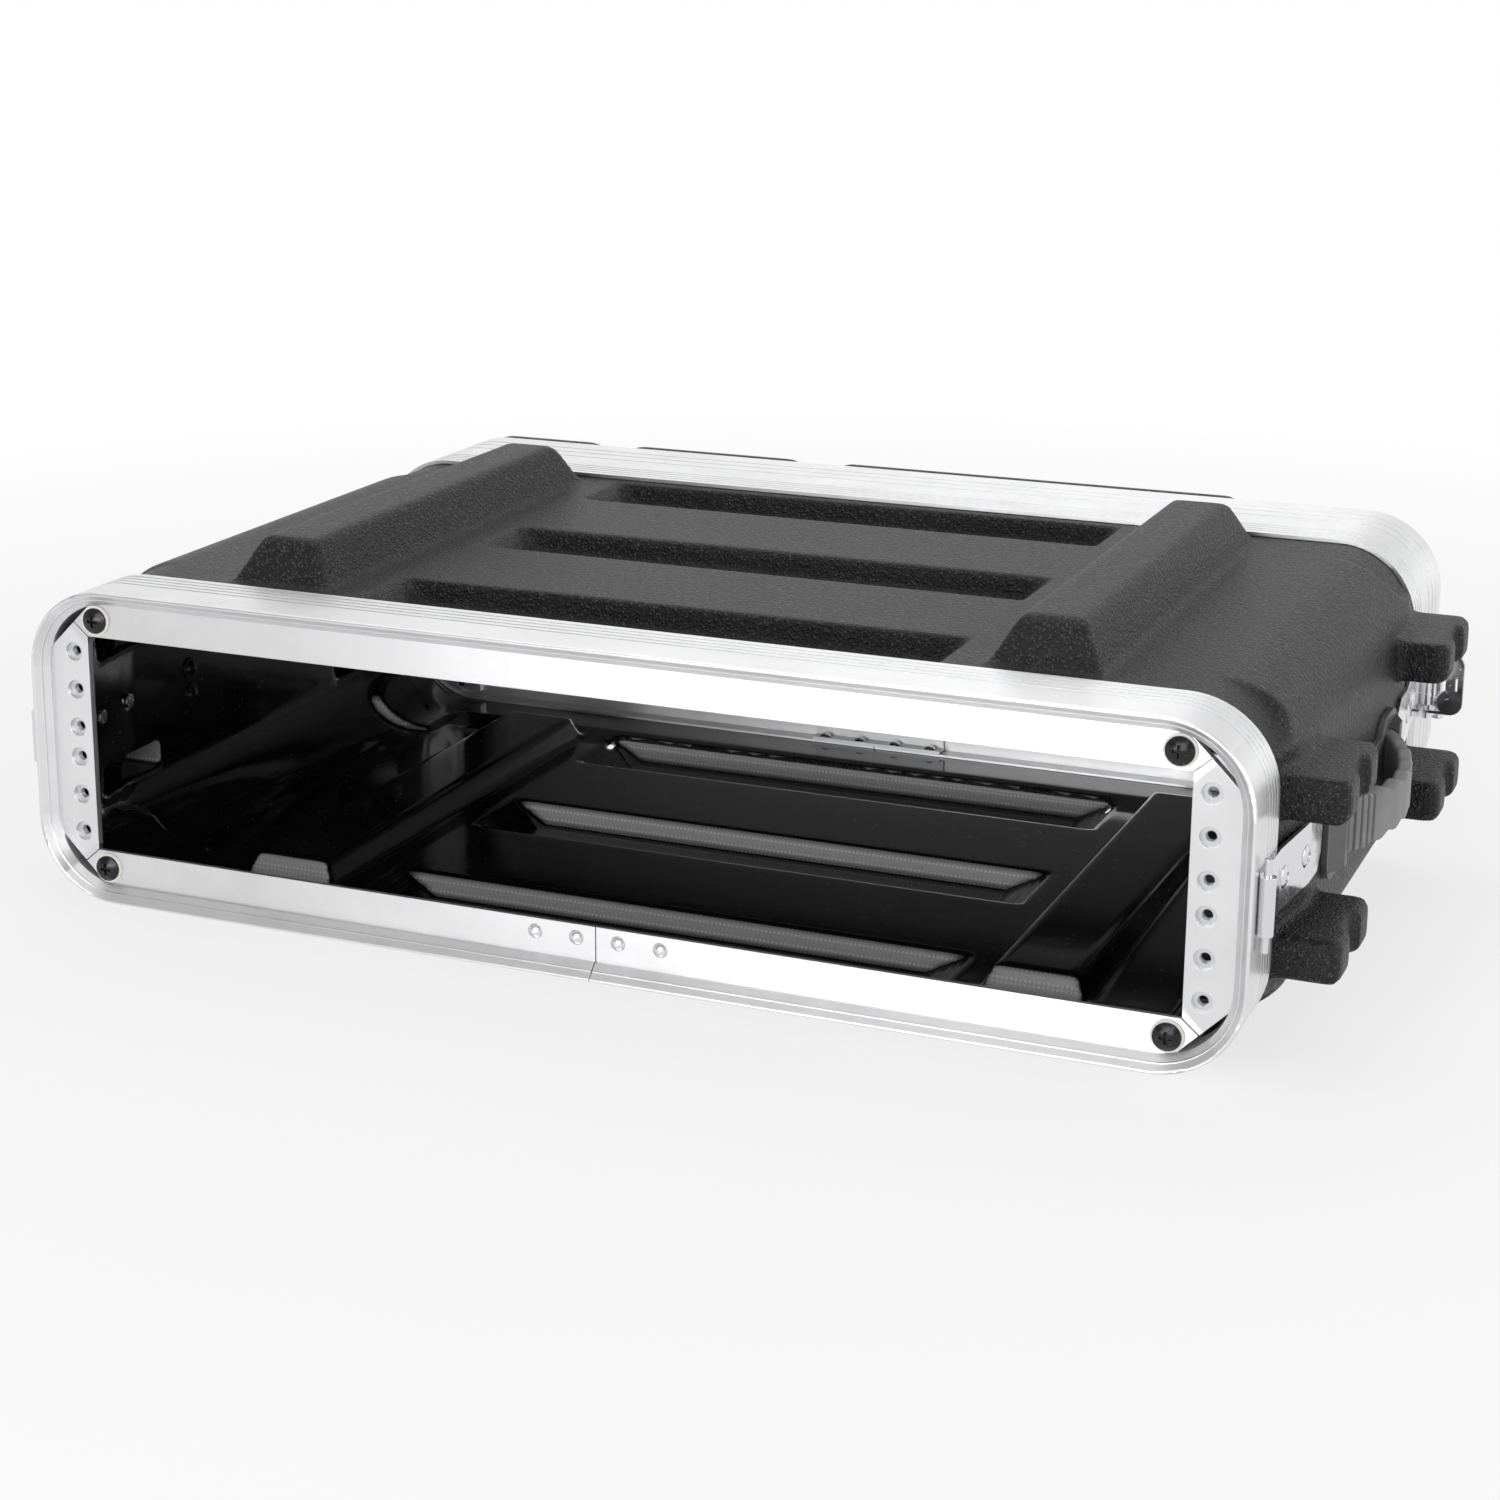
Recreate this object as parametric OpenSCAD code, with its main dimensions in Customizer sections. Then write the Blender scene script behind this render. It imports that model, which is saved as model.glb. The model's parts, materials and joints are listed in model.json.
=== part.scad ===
// Moulded rack case, open at the front: aluminium rack frames, side keepers and handles,
// and a rear lid that two spring latches hold. Millimetres, +Z up, the front faces -Y.
// Drawn about the centre of the front rack opening, then placed on the bottom centre of its box.

/* [Rack opening] */
// distance between the left and right rack hole columns
rack_pitch_w = 465.1; // [464:0.1:466]
// distance between the outermost hole rows
hole_row_outer = 76.2; // [75:0.05:77]
// distance between the middle hole rows
hole_row_middle = 44.45; // [43.5:0.05:45]
// distance between the inner hole rows
hole_row_inner = 12.7; // [12.2:0.05:13.2]
// clearance hole in the flange
rack_hole_d = 7.7; // [7:0.1:8.2]
// tapped hole in the rail behind it
tapped_hole_d = 4.2; // [4:0.1:5.6]
// hole column to the inner edge of the side flange
hole_land = 6.8; // [6.2:0.1:7.2]
// outermost hole row to the edge of the opening
hole_end = 7.1; // [6.6:0.1:7.6]
// width of the side flanges from the opening to the lip
side_flange = 17.95; // [17.4:0.05:18.4]
// front flange plane to rear flange plane
rail_depth = 318; // [310:1:330]

/* [Frame section] */
// outer corner radius of the frames
frame_r = 34; // [33:0.5:36]
// thickness of the outer band
band_t = 1.7; // [1.5:0.1:1.8]
// thickness of the inner lip wall, beyond the channel that takes the shell edge
lip_wall = 1.2; // [1:0.1:1.4]
// depth of that channel
channel_depth = 7; // [6:0.5:8]
// flange plane to the rear edge of the outer band
band_y = 29; // [27:0.5:30]
// how far the centre of the rounded nose stands before the flange plane
nose_y = 5.57; // [5.2:0.05:6]
// radius of the rounded nose
nose_r = 0.8; // [0.7:0.05:0.9]
// lean of the sloped inner face of the lip
lip_angle = 47.5; // [45:0.5:49]
// thickness of the rack flange
flange_t = 1.8; // [1.6:0.1:2]
// size of the cut across each flange corner
corner_cut = 20.4; // [19:0.2:22]
// width of the mitre between two flanges
mitre_gap = 0.5; // [0.4:0.1:0.8]
// width of the closed joint at the bottom centre
seam_gap = 0.4; // [0.3:0.1:0.6]
// width of the fine grooves round the band
groove_w = 1; // [0.8:0.1:1.2]
// depth of the fine grooves
groove_d = 0.4; // [0.3:0.05:0.5]
// distance from groove to groove
groove_pitch = 4.1; // [3.8:0.1:4.2]

/* [Rails and screws] */
// thickness of the tapped rail
rail_t = 3; // [2.5:0.1:3.5]
// hole column to the inner edge of the rail
rail_land = 5.55; // [5:0.05:6]
// length of the tabs above and below the opening
tab_len = 14; // [13:0.5:16]
// height of those tabs
tab_h = 10.5; // [10:0.1:11]
// edge of the opening to the tabs
tab_gap = 1.3; // [1:0.1:1.6]
// tabs to the inner lip wall
tab_clear = 2.3; // [2:0.1:2.6]
// direction of the corner screw from the centre of the corner round
screw_turn = 75.8; // [74:0.2:78]
// gap from its washer to the corner round
screw_gap = 0.19; // [0.15:0.01:0.4]
// rim of the washer round the pan head
washer_rim = 0.9; // [0.7:0.05:1]
// screw shank diameter
shank_d = 3.8; // [3.6:0.1:4]
// screw length under the head
screw_len = 10; // [9:0.5:12]

/* [Splice] */
// rivet pitch along the splice
splice_pitch = 17.5; // [17:0.1:18]
// rivet head diameter
splice_head_d = 6; // [5.6:0.1:6.4]
// last rivet to the end of the plate
splice_end = 5.75; // [5:0.25:7]
// thickness of the splice plate
splice_t = 1.4; // [1.2:0.1:1.6]

/* [Shell] */
// wall thickness of the moulded shell
wall = 2.8; // [2.6:0.05:2.85]
// how far each side bulges past the frames
side_bulge = 3.3; // [2.6:0.1:4]
// how far the floor bulges below the frames
floor_bulge = 0.7; // [0.5:0.1:1.4]
// length over which the sides widen behind the band
side_ramp_len = 36; // [33:1:40]
// length over which the floor deepens behind the band
floor_ramp_len = 17; // [15:1:20]
// centre of each top rib from the side of the frame
rib_in = 89.7; // [88:0.1:92]
// width of the flat rib top
rib_top_w = 24; // [22:0.5:25]
// height of the rib above the top
rib_h = 18.3; // [16:0.1:19]
// run of the rib's side slopes
rib_run = 10; // [9:0.5:10.5]
// band to the foot of the rib
rib_gap_y = 10.3; // [9:0.1:12]
// rounding of the rib edges
edge_r = 5; // [4.6:0.1:5.4]
// rib foot to the end of the stacking channels
channel_gap_x = 16; // [14:0.5:18]
// depth of the stacking channels
channel_d = 10; // [8:0.5:11]
// run of the channel end ramps
channel_ramp = 12; // [10:0.5:13]
// draft run of the channel walls
channel_draft = 2.5; // [2:0.1:3]
// width of each channel front to back
channel_len = 38.9; // [37:0.1:40]
// band to the first channel
channel_gap_y = 6.2; // [5:0.1:7]
// depth of the floor ridges under the floor
ridge_h = 8.8; // [8:0.1:9.5]
// depth of the floor grooves that clear the ribs below
nest_h = 10.8; // [9:0.1:11.5]

/* [Corner scoops] */
// length of the cut-back corner behind the band
scoop_len = 28.5; // [27:0.5:30]
// run of the step at its end for each millimetre of height
step_lean = 0.5; // [0.4:0.05:0.7]

/* [Side lugs] */
// how far the lugs stand out from the sides
lug_out = 20.6; // [19:0.1:22]
// lower face of the upper lug
lug_low_z = 21.2; // [20.8:0.1:22]
// height of each lug
lug_h = 16.7; // [16:0.1:18]
// band to the front face of the front lug
lug_gap = 2.5; // [2:0.1:4]
// length of each lug
lug_len = 54.5; // [52:0.5:56]
// rounding of the lug corners seen from above
lug_r = 5; // [4:0.5:5.5]
// rounding of the lug edges seen from the front
lug_edge_r = 3.6; // [3.2:0.1:4]
// start of the notch behind the lug's front face
notch_start = 18; // [17:0.5:19]
// length of the notch
notch_len = 18.5; // [17:0.5:20]
// depth of the notch
notch_d = 3.4; // [3:0.1:4]

/* [Keepers] */
// thickness of the keeper plate
keeper_t = 1.5; // [1.3:0.1:1.6]
// width of the keeper
keeper_w = 23.6; // [23:0.2:24]
// how much shorter the barrel is at each end
barrel_end = 1.1; // [0.8:0.1:1.4]
// wall of the rolled barrel
barrel_wall = 1.5; // [1.3:0.1:1.6]
// barrel centre behind the flange plane
barrel_y = 1.5; // [1:0.1:2.5]
// rear end of the keeper plate to the handle base
keeper_gap = 8; // [6:0.5:10]
// radius of the keeper pin
keeper_pin_r = 1.5; // [1.4:0.05:1.7]
// how far the pin stands out of each side of the keeper
pin_out = 5.2; // [4.8:0.1:5.6]
// distance of both rivets from the bends of the plate
rivet_in = 5; // [4.8:0.1:6]
// diameter of the rivet heads
keeper_head_d = 8.5; // [8:0.1:9]

/* [Handles] */
// rear end of the lug to the handle base
base_gap = 6; // [5:0.5:8]
// height of the handle base
base_h = 36; // [34:0.5:38]
// length of the tall ends of the base
base_pad = 32; // [30:0.5:36]
// thickness of the handle base
base_t = 2.4; // [2:0.1:2.6]
// centre of the handle below mid height
handle_drop = 4; // [3:0.1:5]
// how far the bowed grip stands out from the side
grip_out = 19.3; // [18:0.1:20]
// end of the base to the end of the bow
grip_end = 10.5; // [9:0.5:12]
// thickness of the grip
grip_t = 5.6; // [5:0.1:6]
// height of the grip
grip_h = 22.5; // [21:0.5:24]
// end of the base to the first of the fine grooves across the grip
grip_groove_in = 19; // [18:0.5:20]
// distance from groove to groove
grip_groove_pitch = 3.5; // [3:0.1:4]

/* [Lid] */
// gap between the two frames at the parting
part_gap = 0.35; // [0.3:0.05:0.5]
// rear flange plane to the rear edge of the lid frame
lid_band = 36; // [34:0.5:38]
// depth of the lid surface below the frame's outer face
lid_step = 1; // [0.9:0.1:1.4]
// height of the raised panels
pad_h = 1.5; // [1.2:0.1:1.8]

/* [Latches] */
// pivot of the latch behind the rear flange plane
pivot_back = 11; // [10.5:0.1:11.5]
// pivot of the latch from the side of the frame
pivot_out = 6.1; // [5.7:0.1:6.5]
// radius of the pivot pin
pivot_r = 1.5; // [1.4:0.05:1.6]
// gap between hook and keeper pin at rest
hook_gap = 0.9; // [0.85:0.05:1.1]
// thickness of the latch sheet
latch_t = 1.5; // [1.4:0.1:1.6]
// radius of the spring wire
wire_r = 0.6; // [0.5:0.05:0.65]

/* [Hidden] */
$fn = 96;

// one overrun for every cut, and the seating and running clearances
over = wall / 2.8;
seat = wall / 56;
run = wall / 9;

opening_w = rack_pitch_w - 2 * hole_land;
opening_h = hole_row_outer + 2 * hole_end;
channel_t = band_t + wall + 6 * seat;
lip_t = channel_t + lip_wall;
fw = opening_w / 2 + side_flange + lip_t;
tab_low_z = opening_h / 2 + tab_gap;
tab_high_z = tab_low_z + tab_h;
fh = tab_high_z + tab_clear + lip_t;
seat_y = flange_t + 4 * seat;
inner_lip_y = seat_y + channel_depth;
groove_first = band_y - 4 * groove_pitch;
rail_inner_x = rack_pitch_w / 2 - rail_land;
tab_inner_x = rail_inner_x - tab_len;
head_d = tab_h;
washer_d = head_d + 2 * washer_rim;
screw_reach = frame_r - lip_t - washer_d / 2 - screw_gap;
corner_screw_x = fw - frame_r + screw_reach * cos(screw_turn);
corner_screw_z = fh - frame_r + screw_reach * sin(screw_turn);
splice_z = tab_low_z + tab_h * 0.39;
splice_half = 1.5 * splice_pitch + splice_end;
rear_rivet_y = (flange_t + splice_t + inner_lip_y) / 2;
rear_head_d = inner_lip_y - flange_t - splice_t - 4 * seat;
bw = fw + side_bulge;
floor_low = fh + floor_bulge;
body_r = frame_r * 0.97;
side_ramp_y = band_y + side_ramp_len;
floor_ramp_y = band_y + floor_ramp_len;
rib_x = fw - rib_in;
rib_front_y = band_y + rib_gap_y + rib_run;
channel_half = rib_x - rib_top_w / 2 - rib_run - channel_gap_x;
channel_first_y = band_y + channel_gap_y;
scoop_y = band_y + scoop_len;
lug_x = bw + lug_out;
lug_high_z = lug_low_z + lug_h;
lug_front_y = band_y + lug_gap;
base_start = lug_front_y + lug_len + base_gap;
base_len = rail_depth - 2 * base_start;
keeper_end_y = base_start - keeper_gap;
barrel_r = keeper_pin_r + barrel_wall;
keeper_pin_half = keeper_w / 2 + pin_out;
rivet_1_y = band_y + rivet_in;
rivet_2_y = side_ramp_y - over - rivet_in;
lid_band_y = rail_depth + lid_band;
lid_r = frame_r - lip_t;
pivot_y = rail_depth + pivot_back;
pivot_x = fw + pivot_out;
mid_y = rail_depth / 2;
neck_in = band_t + 4 * seat;
neck_w = fw - neck_in;
neck_h = fh - neck_in;
neck_r = frame_r - neck_in;
crease_t = nose_r + nose_r * sin(lip_angle);
crease_y = -nose_y - nose_r * cos(lip_angle);
function lip_y(t) = crease_y + (t - crease_t) * tan(lip_angle);
ridge_at = lip_t * 0.6;
ridge_half = lip_t * 0.05;
ridge_up = lip_t * 0.05;
corner_sum = fw + fh - 2 * lip_t - corner_cut;
foot_z = floor_low + ridge_h;
front_y = -nose_y - nose_r;
lid_arc_t = lid_step + lid_r;
back_y = lid_band_y + lid_r + pad_h;
centre_y = (front_y + back_y) / 2;
big = 4 * bw;
hole_rows = [hole_row_outer / 2, hole_row_middle / 2, hole_row_inner / 2];
splice_x = [-1.5 * splice_pitch, -0.5 * splice_pitch, 0.5 * splice_pitch, 1.5 * splice_pitch];
washer_t = flange_t / 2;
head_h = head_d * 0.24;
rim_h = head_h * 0.35;

module place() { translate([0, -centre_y, foot_z]) children(); }
module at_rear() { translate([0, rail_depth, 0]) mirror([0, 1, 0]) children(); }
module along_x(a, b) { translate([a, 0, 0]) rotate([90, 0, 90]) linear_extrude(height = b - a) children(); }
module along_y(a, b) { translate([0, b, 0]) rotate([90, 0, 0]) linear_extrude(height = b - a) children(); }
module along_z(a, b) { translate([0, 0, a]) linear_extrude(height = b - a) children(); }

// rounded rectangle in X and Z between two heights
module round_rect(hw, lo, hi, r) {
    translate([-hw + r, lo]) square([2 * (hw - r), hi - lo]);
    translate([-hw, lo + r]) square([2 * hw, hi - lo - 2 * r]);
    for (s = [-1, 1], z = [lo + r, hi - r]) translate([s * (hw - r), z]) circle(r);
}

// one section (depth from the outer face, Y) carried round a rounded rectangle
module sweep(hw, hh, r) {
    for (s = [0, 1]) {
        mirror([s, 0, 0]) translate([hw, 0, 0]) mirror([1, 0, 0]) along_z(r - hh, hh - r) children();
        mirror([0, 0, s]) rotate([0, 90, 0]) translate([hh, 0, 0]) mirror([1, 0, 0])
            along_z(r - hw, hw - r) children();
        for (q = [0, 1]) mirror([s, 0, 0]) mirror([0, 0, q]) translate([hw - r, 0, r - hh])
            rotate([-90, 0, 0]) rotate_extrude(angle = 90) translate([r, 0]) mirror([1, 0]) children();
    }
}

// frames
module frame_section() {
    difference() {
        union() {
            polygon([[0, band_y], [band_t, band_y], [band_t, seat_y], [channel_t, seat_y],
                [channel_t, inner_lip_y], [lip_t, inner_lip_y], [lip_t, lip_y(lip_t)],
                [ridge_at + ridge_half, lip_y(ridge_at + ridge_half)], [ridge_at, lip_y(ridge_at) - ridge_up],
                [ridge_at - ridge_half, lip_y(ridge_at - ridge_half)], [crease_t, crease_y],
                [nose_r, -nose_y], [0, -nose_y]]);
            translate([nose_r, -nose_y]) circle(nose_r);
        }
        for (i = [0 : 3]) translate([-over, groove_first + i * groove_pitch - groove_w / 2])
            square([over + groove_d, groove_w]);
    }
}

// flange ring with its corners cut across
module flange_ring() {
    hx = fw - lip_t + over / 2;
    hz = fh - lip_t + over / 2;
    along_y(0, flange_t) difference() {
        polygon([for (s = [[1, 1], [-1, 1], [-1, -1], [1, -1]], k = [0, 1])
            (k == 0) == (s[0] * s[1] > 0) ? [s[0] * hx, s[1] * (corner_sum - hx)]
                                          : [s[0] * (corner_sum - hz), s[1] * hz]]);
        square([opening_w, opening_h], center = true);
    }
}

// a round hole along Y through the flange or rail region
module hole_y(x, z, d) {
    translate([x, rail_t + flange_t + over, z]) rotate([90, 0, 0])
        cylinder(d = d, h = rail_t + flange_t + 2 * over);
}

module frame_body(flange_rivets) {
    difference() {
        union() {
            sweep(fw, fh, frame_r) frame_section();
            flange_ring();
        }
        for (s = [-1, 1], q = [-1, 1]) {
            for (z = hole_rows) hole_y(s * rack_pitch_w / 2, q * z, rack_hole_d);
            hole_y(s * corner_screw_x, q * corner_screw_z, shank_d + 2 * run);
            mirror([s < 0 ? 1 : 0, 0, 0]) mirror([0, 0, q < 0 ? 1 : 0])
                translate([opening_w / 2, -over, opening_h / 2]) rotate([0, -40.5, 0])
                translate([-mitre_gap, 0, -mitre_gap / 2])
                cube([corner_cut * 0.5, flange_t + 2 * over, mitre_gap]);
        }
        translate([-seam_gap * 2, front_y - over, -fh - over])
            cube([seam_gap, band_y - front_y + 2 * over, fh - opening_h / 2 + 2 * over]);
        if (flange_rivets) for (x = splice_x) hole_y(x, -splice_z, splice_head_d / 2);
        else for (x = splice_x) translate([x, rear_rivet_y, lip_t * 0.5 - fh])
            cylinder(d = rear_head_d / 2, h = lip_t);
    }
}

module front_frame() { color([0.78, 0.79, 0.8]) place() frame_body(true); }
module rear_frame() { color([0.78, 0.79, 0.8]) place() at_rear() frame_body(false); }

// splices
module front_splice_plate() {
    color([0.7, 0.7, 0.72]) place() difference() {
        translate([-splice_half, flange_t, -tab_high_z])
            cube([2 * splice_half, splice_t, tab_high_z - tab_low_z]);
        for (x = splice_x) hole_y(x, -splice_z, splice_head_d / 2);
    }
}
// the rear plate is an angle: one leg on the flange, one on the lip wall
module rear_splice_plate() {
    color([0.7, 0.7, 0.72]) place() at_rear() difference() {
        along_x(-splice_half, splice_half) polygon([[flange_t, -tab_low_z], [flange_t + splice_t, -tab_low_z],
            [flange_t + splice_t, lip_t + splice_t - fh], [inner_lip_y, lip_t + splice_t - fh],
            [inner_lip_y, lip_t - fh], [flange_t, lip_t - fh]]);
        for (x = splice_x) translate([x, rear_rivet_y, lip_t - fh - over])
            cylinder(d = rear_head_d / 2, h = splice_t + 2 * over);
    }
}
// domed rivet head and shank, head up, flange below
module dome(d, h) {
    r = (d * d / 4 + h * h) / (2 * h);
    rotate_extrude() intersection() {
        square([d / 2, h]);
        translate([0, h - r]) circle(r);
    }
}
module rivet(d, h, grip) {
    dome(d, h);
    translate([0, 0, -grip - seat]) cylinder(d = d / 2 - 2 * seat, h = grip + seat + h / 2);
    translate([0, 0, -grip]) rotate([180, 0, 0]) dome(d * 0.8, h * 0.7);
}
module front_splice_rivets() {
    color([0.8, 0.8, 0.82]) place() for (x = splice_x) translate([x, 0, -splice_z]) rotate([90, 0, 0])
        rivet(splice_head_d, splice_head_d * 0.26, flange_t + splice_t);
}
module rear_splice_rivets() {
    color([0.45, 0.45, 0.47]) place() at_rear() for (x = splice_x)
        translate([x, rear_rivet_y, lip_t + splice_t - fh]) {
            dome(rear_head_d, rear_head_d * 0.26);
            translate([0, 0, -splice_t - lip_t / 6])
                cylinder(d = rear_head_d / 2 - 2 * seat, h = splice_t + lip_t / 6 + rear_head_d * 0.1);
        }
}

// rails, screws and washers
module rail() {
    ex = fw - lip_t - run;
    cs = corner_sum - 2 * run;
    inner_r = frame_r - lip_t - run;
    difference() {
        along_y(flange_t, flange_t + rail_t) intersection() {
            polygon([[rail_inner_x, -tab_low_z], [tab_inner_x, -tab_low_z], [tab_inner_x, -tab_high_z],
                [cs - tab_high_z, -tab_high_z], [ex, ex - cs], [ex, cs - ex], [cs - tab_high_z, tab_high_z],
                [tab_inner_x, tab_high_z], [tab_inner_x, tab_low_z], [rail_inner_x, tab_low_z]]);
            round_rect(ex, lip_t + run - fh, fh - lip_t - run, inner_r);
        }
        for (q = [-1, 1]) {
            for (z = hole_rows) hole_y(rack_pitch_w / 2, q * z, tapped_hole_d);
            hole_y(corner_screw_x, q * corner_screw_z, shank_d + 2 * seat);
        }
    }
}
module front_rail_left() { color([0.75, 0.76, 0.78]) place() mirror([1, 0, 0]) rail(); }
module front_rail_right() { color([0.75, 0.76, 0.78]) place() rail(); }
module rear_rail_left() { color([0.75, 0.76, 0.78]) place() at_rear() mirror([1, 0, 0]) rail(); }
module rear_rail_right() { color([0.75, 0.76, 0.78]) place() at_rear() rail(); }

// pan head screw with a cross recess, its head outwards
module screw() {
    difference() {
        union() {
            translate([0, 0, washer_t]) cylinder(d = head_d, h = rim_h);
            translate([0, 0, washer_t + rim_h]) dome(head_d, head_h - rim_h);
            translate([0, 0, -screw_len]) cylinder(d = shank_d, h = screw_len + washer_t + rim_h / 2);
        }
        for (a = [0, 90]) rotate([0, 0, a]) translate([-head_d * 0.23, -head_d * 0.055, washer_t + rim_h])
            cube([head_d * 0.46, head_d * 0.11, head_h]);
    }
}
module corner_spots() {
    for (s = [-1, 1], q = [-1, 1]) translate([s * corner_screw_x, 0, q * corner_screw_z]) rotate([90, 0, 0])
        children();
}
module washer() {
    difference() {
        cylinder(d = washer_d, h = washer_t);
        translate([0, 0, -over]) cylinder(d = shank_d + 2 * run, h = washer_t + 2 * over);
    }
}
module front_rail_screws() { color([0.12, 0.12, 0.13]) place() corner_spots() screw(); }
module front_rail_washers() { color([0.85, 0.85, 0.83]) place() corner_spots() washer(); }
module rear_rail_screws() { color([0.12, 0.12, 0.13]) place() at_rear() corner_spots() screw(); }
module rear_rail_washers() { color([0.85, 0.85, 0.83]) place() at_rear() corner_spots() washer(); }

// body shell
// every feature is drawn once with an inset: 0 gives the outside, the wall gives the inside
module plan_clip(g) {
    polygon([for (s = [1, -1]) each (s > 0
        ? [[neck_w - g, band_y - over], [neck_w - g, band_y], [bw - g, side_ramp_y],
           [bw - g, rail_depth - side_ramp_y], [neck_w - g, rail_depth - band_y],
           [neck_w - g, rail_depth - band_y + over]]
        : [[g - neck_w, rail_depth - band_y + over], [g - neck_w, rail_depth - band_y],
           [g - bw, rail_depth - side_ramp_y], [g - bw, side_ramp_y], [g - neck_w, band_y],
           [g - neck_w, band_y - over]])]);
}
module side_clip(g) {
    polygon([[band_y - over, neck_h - g], [rail_depth - band_y + over, neck_h - g],
        [rail_depth - band_y + over, g - neck_h], [rail_depth - band_y, g - neck_h],
        [rail_depth - floor_ramp_y, g - floor_low], [floor_ramp_y, g - floor_low],
        [band_y, g - neck_h], [band_y - over, g - neck_h]]);
}
// side view of the cut-back corner: along its length, and up the corner round
scoop_shares = [[0, 0.43], [0.46, 0.46], [0.67, 0.5], [0.84, 0.565], [1, 0.66]];
// one body corner cut back to the round of the neck, with a leaning step where the cut ends
module corner_cut(g) {
    r_in = neck_r + 2 * seat - g;
    r_out = neck_r * 1.5;
    y_end = scoop_y + g;
    arc_z = neck_h - neck_r;
    intersection() {
        union() {
            translate([neck_w - neck_r, 0, arc_z]) rotate([-90, 0, 0]) rotate([0, 0, -90])
                rotate_extrude(angle = 90) polygon([[r_in, band_y - 2 * over], [r_in, y_end],
                    [r_out, y_end + (r_out - r_in) * step_lean], [r_out, band_y - 2 * over]]);
            // the inside goes on past the end of the round, so the wall keeps its thickness there
            if (g > 0) translate([neck_w - neck_r - g, band_y - 2 * over, arc_z + r_in])
                cube([g + over, y_end - band_y + 2 * over, neck_r]);
        }
        along_x(neck_w - neck_r - 2 * g - over, neck_w + neck_r) polygon(concat(
            [[band_y - 3 * over, arc_z + scoop_shares[0][1] * neck_r - g]],
            [for (p = scoop_shares) [band_y + p[0] * (scoop_len + g), arc_z + p[1] * neck_r - g]],
            [[y_end + r_out / 3, arc_z + 2 * neck_r], [band_y - 3 * over, arc_z + 2 * neck_r]]));
    }
}
module all_corners() {
    for (s = [0, 1], q = [0, 1], e = [0, 1]) mirror([s, 0, 0]) mirror([0, 0, q])
        translate([0, e * rail_depth, 0]) mirror([0, e, 0]) children();
}
// outline with sloped ends: wide at z0, a run narrower at each end of z1, where its corners are rounded
function arc_steps(n) = [for (k = [0 : n]) k / n];
function sloped(a, b, z0, z1, lean, r) =
    let (up = z1 > z0 ? 1 : -1, turn = atan(abs(z1 - z0) / lean), cut = r * tan(turn / 2))
    r > seat ? concat([[a, z0]],
        [for (k = arc_steps(4)) let (at = turn * (1 - k))
            [a + lean + cut - r * sin(at), z1 - up * r * (1 - cos(at))]],
        [for (k = arc_steps(4)) let (at = turn * k)
            [b - lean - cut + r * sin(at), z1 - up * r * (1 - cos(at))]],
        [[b, z0]]) : [[a, z0], [a + lean, z1], [b - lean, z1], [b, z0]];
// block with sloped ends in both directions
module bar(x0, x1, y0, y1, z0, z1, run_x, run_y, r) {
    intersection() {
        along_y(y0 - over, y1 + over) polygon(sloped(x0, x1, z0, z1, run_x, r));
        along_x(x0 - over, x1 + over) polygon(sloped(y0, y1, z0, z1, run_y, r));
    }
}
// block whose slopes carry on past its mouth at z0 by a lift
module open_bar(x0, x1, y0, y1, z0, z1, run_x, run_y, lift, r) {
    k = lift / abs(z1 - z0);
    bar(x0 - run_x * k, x1 + run_x * k, y0 - run_y * k, y1 + run_y * k,
        z0 + (z0 > z1 ? lift : -lift), z1, run_x * (1 + k), run_y * (1 + k), r);
}
channel_spots = [channel_first_y, mid_y - channel_len / 2, rail_depth - channel_first_y - channel_len];

module ribs(g) {
    h = rib_h - g;
    i = g * 1.15;
    hx = rib_top_w / 2 + rib_run - i;
    for (s = [-1, 1]) open_bar(s * rib_x - hx, s * rib_x + hx, rib_front_y - rib_run + i,
        rail_depth - rib_front_y + rib_run - i, neck_h, neck_h + h,
        rib_run * h / rib_h, rib_run * h / rib_h, wall + over, edge_r - g);
}
module channels(g) {
    hx = channel_half + g * 0.7;
    for (y = channel_spots) open_bar(-hx, hx, y - g, y + channel_len + g,
        neck_h, neck_h - channel_d - g, channel_ramp, channel_draft, over, edge_r * 0.3 + g / 2);
}
module nests(g) {
    i = g * 1.1;
    hx = rib_top_w * 0.775 + i;
    for (s = [-1, 1]) open_bar(s * rib_x - hx, s * rib_x + hx, rib_front_y - rib_run + wall / 2 - i,
        rail_depth - rib_front_y + rib_run - wall / 2 + i, -floor_low, nest_h + g - floor_low,
        nest_h * 0.5, nest_h * 0.5, over, edge_r * 0.3 + g / 2);
}
// the ridges have plain corners: the case stands on their flat faces
module ridges(g) {
    h = ridge_h - g;
    for (y = channel_spots) open_bar(g * 0.6 - channel_half, channel_half - g * 0.6, y - wall * 0.8 + g,
        y + channel_len + wall * 0.8 - g, -floor_low, -floor_low - h,
        channel_ramp, channel_draft * 1.3, wall + over, 0);
}
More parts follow.
